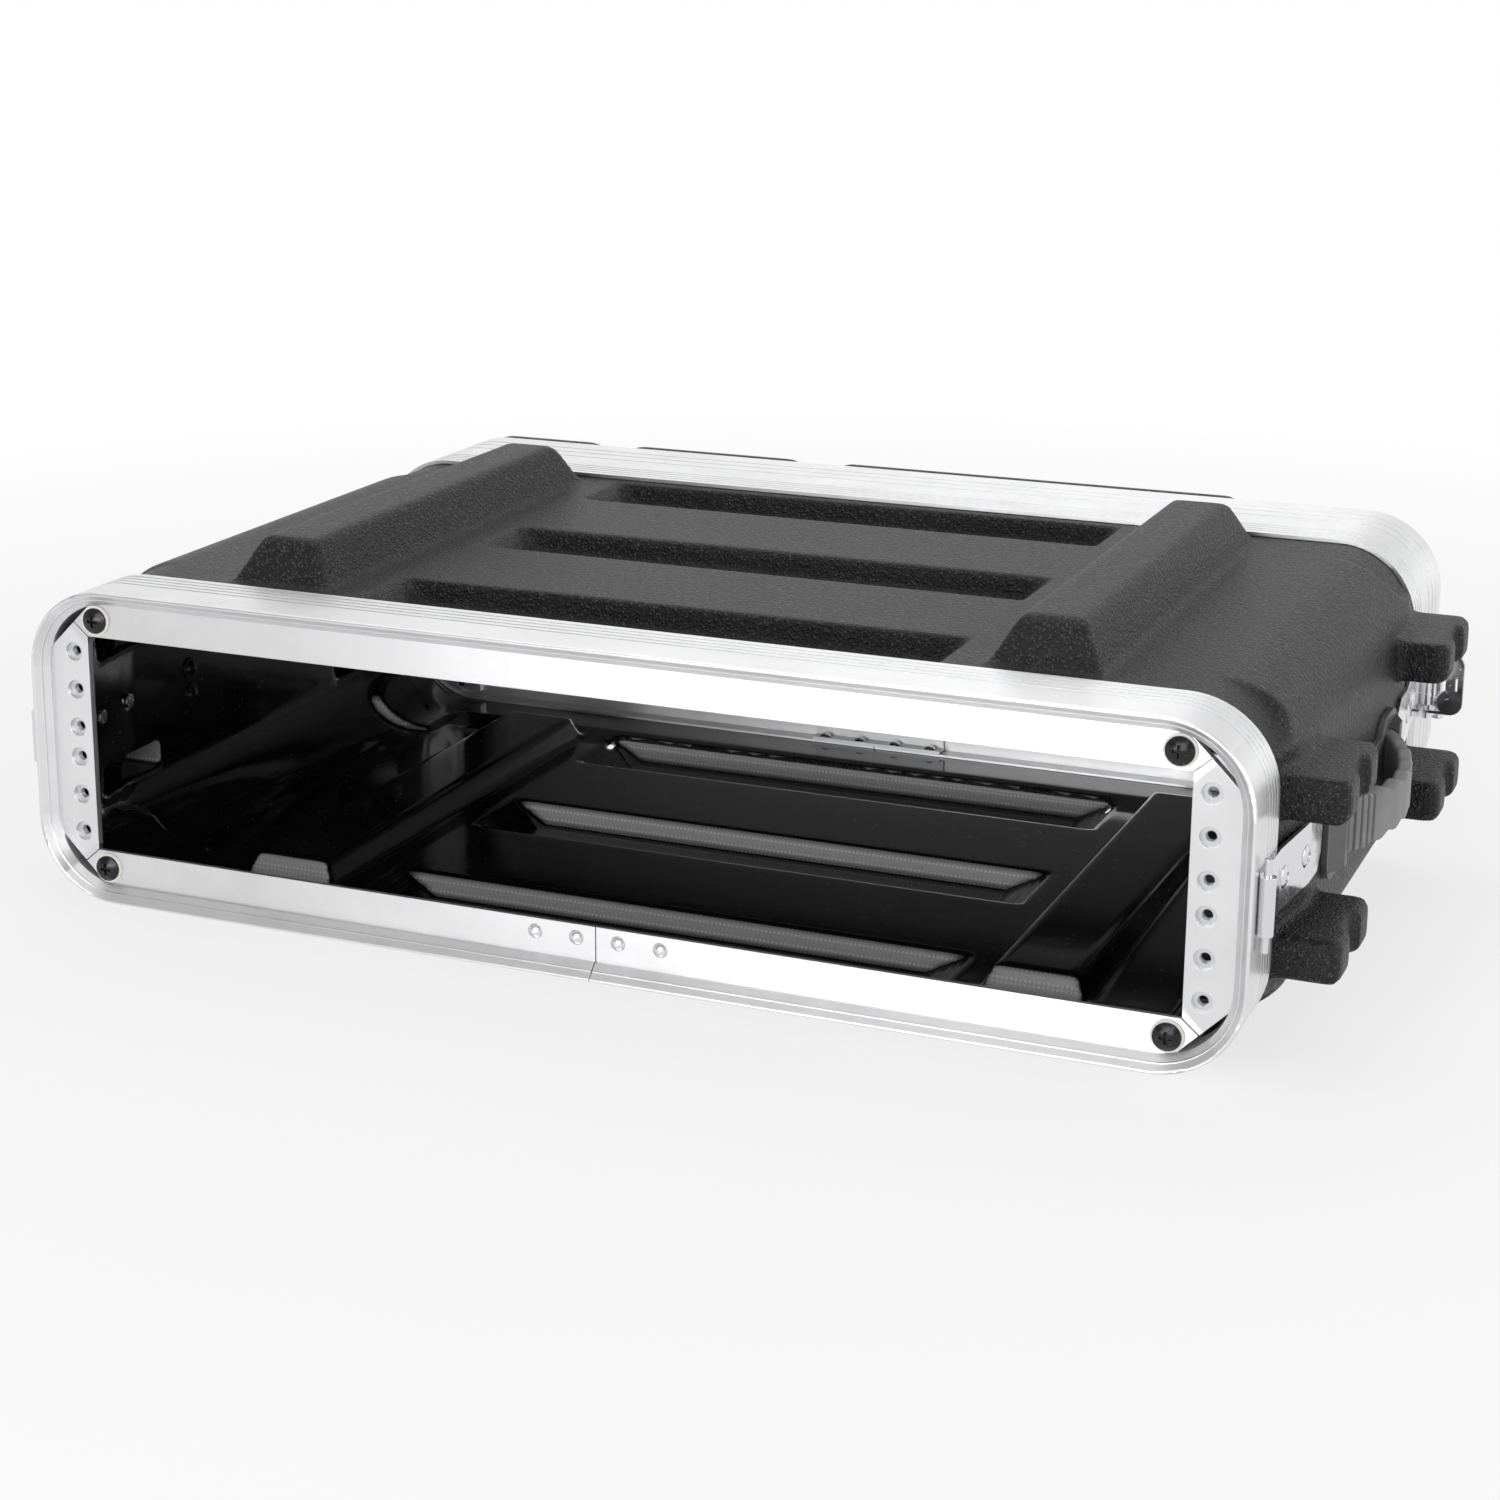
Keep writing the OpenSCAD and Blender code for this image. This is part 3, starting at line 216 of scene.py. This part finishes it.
def glossy_plastic():
    """Inside of the mouldings: gloss black, but matt, dotted and painted light grey as lit on the walls that
    face the open front, with the moulded spots painted bright as glints.
    """
    # The second colour is painted light for the lit front-facing walls and the third a painted glint on
    # their moulded spots; specks and scratches are real marks.
    black, lit_wall, dot = (0.006, 0.006, 0.0063), (0.34, 0.34, 0.343), (0.7, 0.7, 0.7)
    speck, scratch = (0.05, 0.05, 0.048), (0.05, 0.05, 0.05)
    f = Finish("glossy_black_plastic")
    flow = f.noise(35 * MM, detail=2.0, roughness=0.5, vector=f.stretched(0.4, 1.0, 1.0))
    specks = f.between(f.noise(0.9 * MM, detail=2.0, roughness=0.7), 0.7, 0.76)
    lines = f.scratches(1.4 * MM, rarity=0.24)
    # 1 on walls that face the open front: matt there, and painted light grey as if lit from the front.
    matt = f.facing(0, -1, 0, 0.5, 0.85)
    lattice = f.node("ShaderNodeTexVoronoi", {
        "Vector": f.place, "Scale": 1 / (1.8 * MM), "Randomness": 0.0}).outputs["Distance"]
    # Moulded spots in rows: a real bump, painted bright as glints, and only on the front-facing walls.
    glinting_dots = f.product(f.between(lattice, 0.28, 0.4, 1.0, 0.0), matt)
    tint = f.mixed(matt, black, lit_wall)
    tint = f.mixed(f.product(glinting_dots, 0.5), tint, dot)
    tint = f.mixed(f.product(specks, 0.2), tint, speck)
    tint = f.mixed(f.product(lines, 0.25), tint, scratch)
    worn = f.sum(f.product(lines, 0.2), f.product(matt, 0.24))
    dull = f.sum(f.between(flow, 0.3, 0.7, 0.07, 0.14), worn)
    ripple = f.relief(flow, 0.35 * MM, strength=0.4)
    normal = f.relief(glinting_dots, 0.06 * MM, strength=0.6, under=ripple)
    return f.finish(tint, dull, normal, Specular_IOR_Level=0.5)


def extruded_aluminium(name, tint, dull, streak=1.0):
    """Satin aluminium drawn along the frame: fine lines follow each member and spread light across it."""
    mitre, line_pitch, drawn_out = 2 * MM, 0.32 * MM, 0.003
    f = Finish(name)
    apart = f.node("ShaderNodeSeparateXYZ", {"Vector": f.place})
    from_middle = f.calculated("ABSOLUTE", apart.outputs[0])
    across = f.calculated("SUBTRACT", from_middle, FRAME_HALF_W - FRAME_HALF_H)
    height = f.calculated("ABSOLUTE", f.calculated("SUBTRACT", apart.outputs[2], MID_Z))
    post = f.between(f.calculated("SUBTRACT", across, height), -mitre, mitre)
    row = f.calculated("SUBTRACT", 1.0, post)
    along_x, along_z = f.stretched(drawn_out, 1.0, 1.0), f.stretched(1.0, 1.0, drawn_out)
    row_lines = f.noise(line_pitch, detail=3.0, roughness=0.7, vector=along_x)
    post_lines = f.noise(line_pitch, detail=3.0, roughness=0.7, vector=along_z)
    lines = f.sum(f.product(row_lines, row), f.product(post_lines, post))
    stains = f.noise(28 * MM, detail=4.0, roughness=0.6)
    marks = f.scratches(1.5 * MM, rarity=0.23)
    color = f.mixed(f.between(stains, 0.35, 0.75), tint, shaded(tint, 0.9))
    color = f.mixed(f.product(f.between(lines, 0.55, 0.8), 0.08 * streak), color, shaded(tint, 0.7))
    rough = f.sum(f.between(lines, 0.3, 0.7, dull - 0.04, dull + 0.05), f.product(marks, 0.12))
    normal = f.relief(lines, 0.006 * MM * streak, strength=0.5, under=f.soft_edges(0.45 * MM))
    normal = f.relief(marks, 0.02 * MM, strength=0.4, under=normal)

    # the small added vector keeps the tangent off zero on faces that look along the lines
    drawn = f.node("ShaderNodeCombineXYZ", {"X": row, "Z": post}).outputs[0]
    facing = f.node("ShaderNodeNewGeometry").outputs["Normal"]
    tangent = f.vectors("ADD", f.vectors("CROSS_PRODUCT", facing, drawn), (0.05, 0.08, 0.1))
    f.feed(f.shader.inputs["Tangent"], tangent)
    return f.finish(color, rough, normal, Metallic=1.0, Anisotropic=0.8)


def plated_steel(name, tint, dull, wear=0.5):
    """Bright metal, plated or plain: finger smears, hair scratches and a few dull pits."""
    f = Finish(name)
    smears = f.noise(7 * MM, detail=4.0, roughness=0.65, distortion=0.6)
    lines = f.scratches(1.2 * MM, rarity=0.21)
    pits = f.between(f.noise(0.6 * MM, detail=1.0, roughness=0.5), 0.72, 0.78)
    color = f.mixed(f.product(pits, wear), tint, shaded(tint, 0.45))
    marks = f.calculated("MAXIMUM", lines, pits)
    rough = f.sum(f.between(smears, 0.4, 0.7, dull, dull + 0.13), f.product(marks, 0.2))
    normal = f.relief(smears, 0.05 * MM, strength=0.25, under=f.soft_edges(0.4 * MM))
    normal = f.relief(lines, 0.015 * MM, strength=0.5, under=normal)
    return f.finish(color, rough, normal, Metallic=1.0)


def black_screw_steel():
    """Blackened steel with a fine grain and faint rubbed patches."""
    black, rubbed = (0.012, 0.012, 0.013), (0.2, 0.195, 0.19)
    f = Finish("blackened_steel")
    rub = f.between(f.noise(1.3 * MM, detail=4.0, roughness=0.7), 0.56, 0.66)
    grain = f.noise(0.3 * MM, detail=2.0, roughness=0.6)
    color = f.mixed(f.product(rub, 0.15), black, rubbed)
    rough = f.between(grain, 0.3, 0.7, 0.14, 0.26)
    normal = f.relief(grain, 0.01 * MM, strength=0.5, under=f.soft_edges(0.3 * MM))
    return f.finish(color, rough, normal, Metallic=0.4)


def nylon_washer():
    """Cloudy pale nylon with grime in small patches."""
    pale, cloudy, dirt = (0.78, 0.77, 0.72), (0.68, 0.66, 0.6), (0.32, 0.3, 0.27)
    f = Finish("pale_nylon")
    cloud = f.noise(4 * MM, detail=3.0, roughness=0.6)
    grain = f.noise(0.35 * MM, detail=2.0, roughness=0.5)
    grime = f.between(f.noise(1.8 * MM, detail=4.0, roughness=0.75), 0.6, 0.72)
    color = f.mixed(f.product(grime, 0.5), f.mixed(cloud, pale, cloudy), dirt)
    rough = f.between(grain, 0.3, 0.7, 0.38, 0.55)
    return f.finish(color, rough, f.relief(grain, 0.03 * MM, strength=0.5))


def handle_plastic(name, dark, pale, grain_size):
    """Smooth dark grey moulding with a fine matt grain and polished rub patches."""
    f = Finish(name)
    grain = f.noise(grain_size, detail=3.0, roughness=0.6)
    broad = f.noise(22 * MM, detail=3.0, roughness=0.6)
    lines = f.scratches(1.5 * MM, rarity=0.22)
    color = f.mixed(f.between(broad, 0.35, 0.65), dark, pale)
    color = f.mixed(f.product(lines, 0.3), color, shaded(pale, 1.9))
    rough = f.between(f.sum(broad, f.product(grain, 0.4)), 0.45, 0.95, 0.38, 0.58)
    normal = f.relief(grain, 0.06 * MM, strength=0.6, under=f.soft_edges(0.8 * MM))
    return f.finish(color, rough, normal, Specular_IOR_Level=0.5)


finishes = {
    "shell_plastic": pebbled_plastic(),
    "frame_aluminium": extruded_aluminium("satin_frame_aluminium", (0.8, 0.8, 0.81), dull=0.34),
    "rail_aluminium": extruded_aluminium("satin_rail_aluminium", (0.72, 0.725, 0.74), dull=0.38, streak=0.7),
    "rivet_aluminium": plated_steel("rivet_aluminium", (0.78, 0.78, 0.79), dull=0.22),
    "black_steel": black_screw_steel(),
    "pale_washer": nylon_washer(),
    "chromed_steel": plated_steel("chromed_steel", (0.7, 0.7, 0.72), dull=0.08, wear=0.3),
    "pin_steel": plated_steel("pin_steel", (0.7, 0.7, 0.71), dull=0.16),
    "spring_steel": plated_steel("spring_steel", (0.52, 0.52, 0.53), dull=0.2, wear=0.7),
    "handle_plastic": handle_plastic(
        "handle_base_plastic", (0.07, 0.07, 0.072), (0.1, 0.1, 0.103), grain_size=0.5 * MM),
    "grip_plastic": handle_plastic(
        "handle_grip_plastic", (0.17, 0.17, 0.175), (0.23, 0.23, 0.236), grain_size=0.35 * MM),
}
gloss_black = glossy_plastic()
for node, obj in frame["nodes"].items():
    obj.data.materials.clear()
    obj.data.materials.append(finishes[slots[node]])

# rounded mouldings
VOXEL = 1.5 * MM
FACES_KEPT = 0.2
DOUBLE_VERTEX = 0.002 * MM
FLAT_ANGLE = math.radians(0.4)
OFF_SURFACE = 0.02 * MM
LOOK_AHEAD = 40 * MM
CLEAR_OF_RIM = 5 * MM
CLEAR_OF_LID_PANEL = 20 * MM


def inside_faces(mesh, low_y, high_y):
    """The faces that see one of four points in the clear hollow: the gloss inside of a moulding."""
    lows = (-CLEAR_HALF_W, low_y, MID_Z - CLEAR_HALF_H)
    highs = (CLEAR_HALF_W, high_y, MID_Z + CLEAR_HALF_H)

    def in_hollow(point):
        return Vector([min(max(value, low), high) for value, low, high in zip(point, lows, highs)])

    mesh.calc_loop_triangles()
    tree = BVHTree.FromPolygons([v.co for v in mesh.vertices], [p.vertices for p in mesh.polygons])
    largest = {}
    for tri in mesh.loop_triangles:
        if tri.area > largest.get(tri.polygon_index, (0,))[0]:
            largest[tri.polygon_index] = (tri.area, tri)
    found = set()
    for index, (_, tri) in largest.items():
        start = sum((mesh.vertices[v].co for v in tri.vertices), Vector()) / 3 + tri.normal * OFF_SURFACE
        near = in_hollow(start)
        ahead = in_hollow(start + tri.normal * LOOK_AHEAD)
        on_axis = Vector((0, near.y, MID_Z))
        for target in (on_axis, Vector((near.x, near.y, MID_Z)), Vector((0, near.y, near.z)), ahead):
            way = target - start
            if tree.ray_cast(start, way.normalized(), way.length)[0] is None:
                found.add(index)
                break
    return found


def nearest_side(mesh, inside):
    """A search that tells which side of the moulding a point lies on: True for the gloss inside."""
    mesh.calc_loop_triangles()
    triangles = [tuple(t.vertices) for t in mesh.loop_triangles]
    owner = [t.polygon_index in inside for t in mesh.loop_triangles]
    tree = BVHTree.FromPolygons([v.co for v in mesh.vertices], triangles, all_triangles=True)
    return lambda point: owner[tree.find_nearest(point)[2]]


def relaxed(mesh, is_inside, outside_turns, inside_turns):
    """Moves each vertex half way to the middle of its neighbours, more often outside than inside."""
    count = len(mesh.vertices)
    place = np.empty(count * 3)
    mesh.vertices.foreach_get("co", place)
    place = place.reshape(-1, 3)
    ends = np.empty(len(mesh.edges) * 2, dtype=np.int64)
    mesh.edges.foreach_get("vertices", ends)
    ends = ends.reshape(-1, 2)
    degree = np.maximum(np.bincount(ends.ravel(), minlength=count), 1)
    inner = np.array([is_inside(Vector(p)) for p in place])
    for turn in range(outside_turns):
        moved = np.full(count, True) if turn < inside_turns else ~inner
        for axis in range(3):
            total = np.bincount(ends[:, 0], place[ends[:, 1], axis], count)
            total += np.bincount(ends[:, 1], place[ends[:, 0], axis], count)
            step = (total / degree - place[:, axis]) / 2
            place[moved, axis] += step[moved]
    mesh.vertices.foreach_set("co", place.ravel())
    mesh.update()


def modified(piece, kind, **settings):
    """Gives the piece the mesh that one modifier makes of it."""
    modifier = piece.modifiers.new(kind, kind)
    for name, value in settings.items():
        setattr(modifier, name, value)
    piece.data = bpy.data.meshes.new_from_object(piece.evaluated_get(bpy.context.evaluated_depsgraph_get()))
    piece.modifiers.clear()


def rounded_moulding(node, body, outside_turns, inside_turns, low_y, high_y):
    """A copy of a moulding with moulded radii, pebbled outside and gloss inside, in the node's place."""
    source = frame["nodes"][node].data.copy()
    work = bmesh.new()
    work.from_mesh(source)
    bmesh.ops.remove_doubles(work, verts=work.verts, dist=DOUBLE_VERTEX)
    bmesh.ops.dissolve_limit(work, angle_limit=FLAT_ANGLE, verts=work.verts, edges=work.edges)
    work.to_mesh(source)
    work.free()
    is_inside = nearest_side(source, inside_faces(source, low_y, high_y))
    piece = bpy.data.objects.new(node + "_moulding", source)
    scene.collection.objects.link(piece)
    modified(piece, "REMESH", mode="VOXEL", voxel_size=VOXEL)
    relaxed(piece.data, is_inside, outside_turns, inside_turns)
    modified(piece, "DECIMATE", ratio=FACES_KEPT)
    mesh = piece.data
    mesh.materials.clear()
    mesh.materials.append(finishes["shell_plastic"])
    mesh.materials.append(gloss_black)
    for polygon in mesh.polygons:
        polygon.use_smooth = True
        polygon.material_index = 1 if is_inside(polygon.center) else 0
    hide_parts(node)
    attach(piece, body)


shell_lo, shell_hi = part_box("body_shell")
lid_lo, lid_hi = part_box("lid_shell")
rounded_moulding("body_shell", "case", outside_turns=4, inside_turns=1,
                 low_y=shell_lo[1] + CLEAR_OF_RIM, high_y=shell_hi[1] - CLEAR_OF_RIM)
rounded_moulding("lid_shell", "rear_lid", outside_turns=4, inside_turns=2,
                 low_y=lid_lo[1] + CLEAR_OF_RIM, high_y=lid_hi[1] - CLEAR_OF_LID_PANEL)

# wound wire and screw threads
STEPS_A_TURN = 20


def wire(name, paths, radius, node_slot, body):
    """One round wire a path, with closed ends."""
    curve = bpy.data.curves.new(name, "CURVE")
    curve.dimensions = "3D"
    curve.bevel_depth = radius
    curve.bevel_resolution = 3
    curve.use_fill_caps = True
    for path in paths:
        spline = curve.splines.new("POLY")
        spline.points.add(len(path) - 1)
        for point, place in zip(spline.points, path):
            point.co = (*place, 1)
    piece = bpy.data.objects.new(name, curve)
    piece.data.materials.append(finishes[node_slot])
    scene.collection.objects.link(piece)
    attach(piece, body)
    return piece


def helix(middle, radius, start, end, turns, side=1, axis="z"):
    """Points of a winding about a line along z or y, from start to end."""
    steps = int(turns * STEPS_A_TURN)
    points = []
    for k in range(steps + 1):
        angle = 2 * math.pi * turns * k / steps
        a, b = side * radius * math.cos(angle), radius * math.sin(angle)
        along = start + (end - start) * k / steps
        if axis == "z":
            points.append((middle[0] + a, middle[1] + b, along))
        else:
            points.append((middle[0] + a, along, middle[2] + b))
    return points


# the wire is drawn a little thinner than the ribs of the solid sleeve, so it stays inside their box
WIRE_R = 0.6 * MM
WIRE_DRAWN = 0.95
LEG_LENGTH = 9 * MM
SPRING_TURNS = 3.5
spring_lo, spring_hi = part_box("latch_springs")
pivot = next(j for j in frame["record"]["behaviour"]["joints"] if j["name"] == "latch_right_pivot")["pos_m"]
coil_r = spring_hi[0] - pivot[0] - WIRE_R
coils = []
for side in (1, -1):
    middle = (side * pivot[0], pivot[1], 0)
    winding = helix(middle, coil_r, spring_hi[2] - WIRE_R, spring_lo[2] + WIRE_R, SPRING_TURNS, side)
    first, last = winding[0], winding[-1]
    front_leg = (first[0], first[1] - LEG_LENGTH, first[2])
    back_leg = (last[0], last[1] + LEG_LENGTH, last[2])
    coils.append([front_leg, *winding, back_leg])
springs = wire("latch_spring_coils", coils, WIRE_R * WIRE_DRAWN, "spring_steel", "rear_lid")
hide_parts("latch_springs")

# handle straps: grooves are measured from the middle of the strap
STRAP_T = 5.6 * MM
STRAP_CORNER = 1.5 * MM
STRAP_STEPS = 320
CORNER_STEPS = 4
CREASE = math.radians(35)
WAIST = 1.6 * MM
WAVE = 0.8 * MM
WAVE_PITCH = 14 * MM
GROOVES = [(34 + 3.5 * i) * MM for i in range(5)]
GROOVE_HALF_W = 0.6 * MM
GROOVE_DEPTH = 0.9 * MM


def strap_section(inner, outer, tall):
    """The strap's section as pairs of radius and height, with rounded corners."""
    section = []
    for out, up in ((1, 1), (-1, 1), (-1, -1), (1, -1)):
        steps = range(CORNER_STEPS + 1)
        for step in steps if out * up > 0 else reversed(steps):
            turn = math.pi / 2 * step / CORNER_STEPS
            across = (outer if out > 0 else inner) - out * STRAP_CORNER * (1 - math.cos(turn))
            section.append((across, up * (tall - STRAP_CORNER * (1 - math.sin(turn)))))
    return section


def strap(node, side):
    """A handle strap bowed like its solid, with finger waves along both edges and grooves near the ends."""
    lo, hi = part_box(node)
    far, near = max(abs(lo[0]), abs(hi[0])), min(abs(lo[0]), abs(hi[0]))
    half, rise = (hi[1] - lo[1]) / 2, far - near
    radius = (half * half + rise * rise) / (2 * rise)
    middle = Vector((far - radius, (lo[1] + hi[1]) / 2, (lo[2] + hi[2]) / 2))
    reach = math.asin(half / radius)
    work = bmesh.new()
    rings = []
    for k in range(STRAP_STEPS + 1):
        angle = reach * (2 * k / STRAP_STEPS - 1)
        waist = (1 + math.cos(math.pi * angle / reach)) / 2
        wave = (1 - math.cos(2 * math.pi * radius * angle / WAVE_PITCH)) * WAVE * min(1, 2 * waist)
        tall = (hi[2] - lo[2]) / 2 - WAIST * waist - wave
        in_groove = any(abs(abs(radius * math.sin(angle)) - g) < GROOVE_HALF_W for g in GROOVES)
        outer = radius - (GROOVE_DEPTH if in_groove else 0)
        rings.append([
            work.verts.new((
                side * (middle.x + across * math.cos(angle)), middle.y + across * math.sin(angle),
                middle.z + height))
            for across, height in strap_section(radius - STRAP_T, outer, tall)])
    count = len(rings[0])
    for a, b in zip(rings, rings[1:]):
        for i in range(count):
            work.faces.new((a[i], a[(i + 1) % count], b[(i + 1) % count], b[i]))
    work.faces.new(rings[0])
    work.faces.new(rings[-1][::-1])
    bmesh.ops.recalc_face_normals(work, faces=work.faces)
    for face in work.faces:
        face.smooth = True
    for edge in work.edges:
        if len(edge.link_faces) == 2 and edge.calc_face_angle() > CREASE:
            edge.smooth = False
    mesh = bpy.data.meshes.new(node + "_strap")
    work.to_mesh(mesh)
    work.free()
    mesh.materials.append(finishes["grip_plastic"])
    piece = bpy.data.objects.new(node + "_strap", mesh)
    scene.collection.objects.link(piece)
    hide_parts(node)
    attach(piece, "case")


strap("handle_right_grip", 1)
strap("handle_left_grip", -1)

# the tapped holes of the rack rails, measured from the middle of the opening
HOLE_X = 232.55 * MM
HOLE_R = 2.1 * MM
THREAD_R = 0.2 * MM
THREAD_TURNS = 4
ROWS = (38.1 * MM, 22.225 * MM, 6.35 * MM)
for end in ("front", "rear"):
    rail_lo, rail_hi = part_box(end + "_rail_right")
    first, last = rail_lo[1] + THREAD_R, rail_hi[1] - THREAD_R
    threads = [
        helix((side * HOLE_X, 0, MID_Z + up * row), HOLE_R, first, last, THREAD_TURNS, axis="y")
        for side in (1, -1) for up in (1, -1) for row in ROWS]
    wire(end + "_rail_threads", threads, THREAD_R, "rail_aluminium", "case")

# studio
FLOOR_SIZE = 60
FLOOR_NEAR, FLOOR_FAR = 0.4, 1.1
FLOOR_NEAR_WHITE = 0.72


def paper(name, color):
    """Pale paper with a faint tooth. To the camera and in mirrors it is plain white away from the case.

    Near the case a share of FLOOR_NEAR_WHITE is white, and the rest is paper that shows the shadow.
    """
    f = Finish(name)
    tooth = f.noise(3 * MM, detail=3.0, roughness=0.6)
    broad = f.noise(0.4, detail=2.0, roughness=0.5)
    shade = f.mixed(broad, color, shaded(color, 0.985))
    f.finish(shade, 0.9, f.relief(tooth, 0.05 * MM, strength=0.2), Specular_IOR_Level=0.1)
    distance = f.vectors("LENGTH", f.place, output="Value")
    whiteness = f.between(distance, FLOOR_NEAR, FLOOR_FAR, FLOOR_NEAR_WHITE, 1.0)
    rays = f.node("ShaderNodeLightPath")
    seen = f.calculated("MAXIMUM", rays.outputs["Is Camera Ray"], rays.outputs["Is Glossy Ray"])
    white = f.node("ShaderNodeEmission", {"Color": WHITE, "Strength": 1.0})
    blend = f.node("ShaderNodeMixShader", {0: f.product(seen, whiteness)})
    f.feed(blend.inputs[1], f.shader.outputs[0])
    f.feed(blend.inputs[2], white.outputs[0])
    f.feed(f.tree.nodes["Material Output"].inputs["Surface"], blend.outputs[0])
    return f.material


bpy.ops.mesh.primitive_plane_add(size=FLOOR_SIZE, location=(0, 0, 0))
floor = bpy.context.object
floor.name = "floor"
floor.data.materials.append(paper("floor_paper", (0.94, 0.94, 0.94)))

# mirrors see white behind the case, and grey in front of it, where the room would be
SKY_DIFFUSE = 0.36
ROOM_GLOSS = 0.4
ROOM_ENDS, WHITE_STARTS = -0.6, 0.2
world = bpy.data.worlds.new("studio")
scene.world = world
world.use_nodes = True
sky = world.node_tree


def white_light(node, strength):
    """The light of a background node, white. The strength is a number or a node's output."""
    node.inputs["Color"].default_value = WHITE
    if is_socket(strength):
        sky.links.new(strength, node.inputs["Strength"])
    else:
        node.inputs["Strength"].default_value = strength
    return node.outputs[0]


def chosen(choice, light, other):
    """The light, or the other one where the choice is 1."""
    made = sky.nodes.new("ShaderNodeMixShader")
    for socket, value in zip(made.inputs, (choice, light, other)):
        sky.links.new(value, socket)
    return made.outputs[0]


way = sky.nodes.new("ShaderNodeTexCoord")
apart = sky.nodes.new("ShaderNodeSeparateXYZ")
sky.links.new(way.outputs["Generated"], apart.inputs[0])
room = sky.nodes.new("ShaderNodeMapRange")
sky.links.new(apart.outputs["Y"], room.inputs["Value"])
room.inputs["From Min"].default_value = ROOM_ENDS
room.inputs["From Max"].default_value = WHITE_STARTS
room.inputs["To Min"].default_value = ROOM_GLOSS
room.inputs["To Max"].default_value = 1.0
rays = sky.nodes.new("ShaderNodeLightPath")
diffuse = white_light(sky.nodes["Background"], SKY_DIFFUSE)
mirrored = white_light(sky.nodes.new("ShaderNodeBackground"), room.outputs["Result"])
seen = white_light(sky.nodes.new("ShaderNodeBackground"), 1.0)
unseen = chosen(rays.outputs["Is Glossy Ray"], diffuse, mirrored)
surface = chosen(rays.outputs["Is Camera Ray"], unseen, seen)
sky.links.new(surface, sky.nodes["World Output"].inputs["Surface"])

CASE_MIDDLE = Vector((0, 0, MID_Z))
FLOOR_OF_CASE = Vector((0.05, 0.1, 0.03))


def soft_lamp(name, place, width, height, power, aim=CASE_MIDDLE):
    """A rectangular lamp of so many watts, turned to its aim."""
    data = bpy.data.lights.new(name, "AREA")
    data.shape = "RECTANGLE"
    data.size = width
    data.size_y = height
    data.energy = power
    lamp = bpy.data.objects.new(name, data)
    lamp.location = place
    lamp.rotation_euler = (aim - Vector(place)).to_track_quat("-Z", "Y").to_euler()
    scene.collection.objects.link(lamp)


soft_lamp("key", (0.1, -2.0, 0.52), width=1.6, height=0.98, power=17)
soft_lamp("low", (-0.25, -1.5, 0.15), width=0.8, height=0.24, power=3, aim=FLOOR_OF_CASE)
soft_lamp("top", (-0.4, 0.4, 2.0), width=1.6, height=1.6, power=11)
soft_lamp("side", (1.9, -0.2, 0.7), width=1.0, height=1.0, power=10)

# camera, where the photograph was taken from
CAMERA_PLACE = Vector((0.4465, -1.126765, 0.4160))
CAMERA_AHEAD = Vector((-0.3924, 0.8818, -0.2615)).normalized()
CAMERA_RIGHT = Vector((0.9137, 0.4063, -0.001))
SENSOR_WIDTH = 36
LENS = 69.78
SHIFT_X, SHIFT_Y = 0.0557, -0.0598
camera_data = bpy.data.cameras.new("camera")
camera = bpy.data.objects.new("camera", camera_data)
scene.collection.objects.link(camera)
right = (CAMERA_RIGHT - CAMERA_AHEAD * CAMERA_RIGHT.dot(CAMERA_AHEAD)).normalized()
up = right.cross(CAMERA_AHEAD)
turned = Matrix((right, up, -CAMERA_AHEAD)).transposed().to_4x4()
camera.matrix_world = Matrix.Translation(CAMERA_PLACE) @ turned
camera_data.sensor_width = SENSOR_WIDTH
camera_data.lens = LENS
camera_data.shift_x = SHIFT_X
camera_data.shift_y = SHIFT_Y
scene.camera = camera
scene.view_settings.view_transform = "Standard"
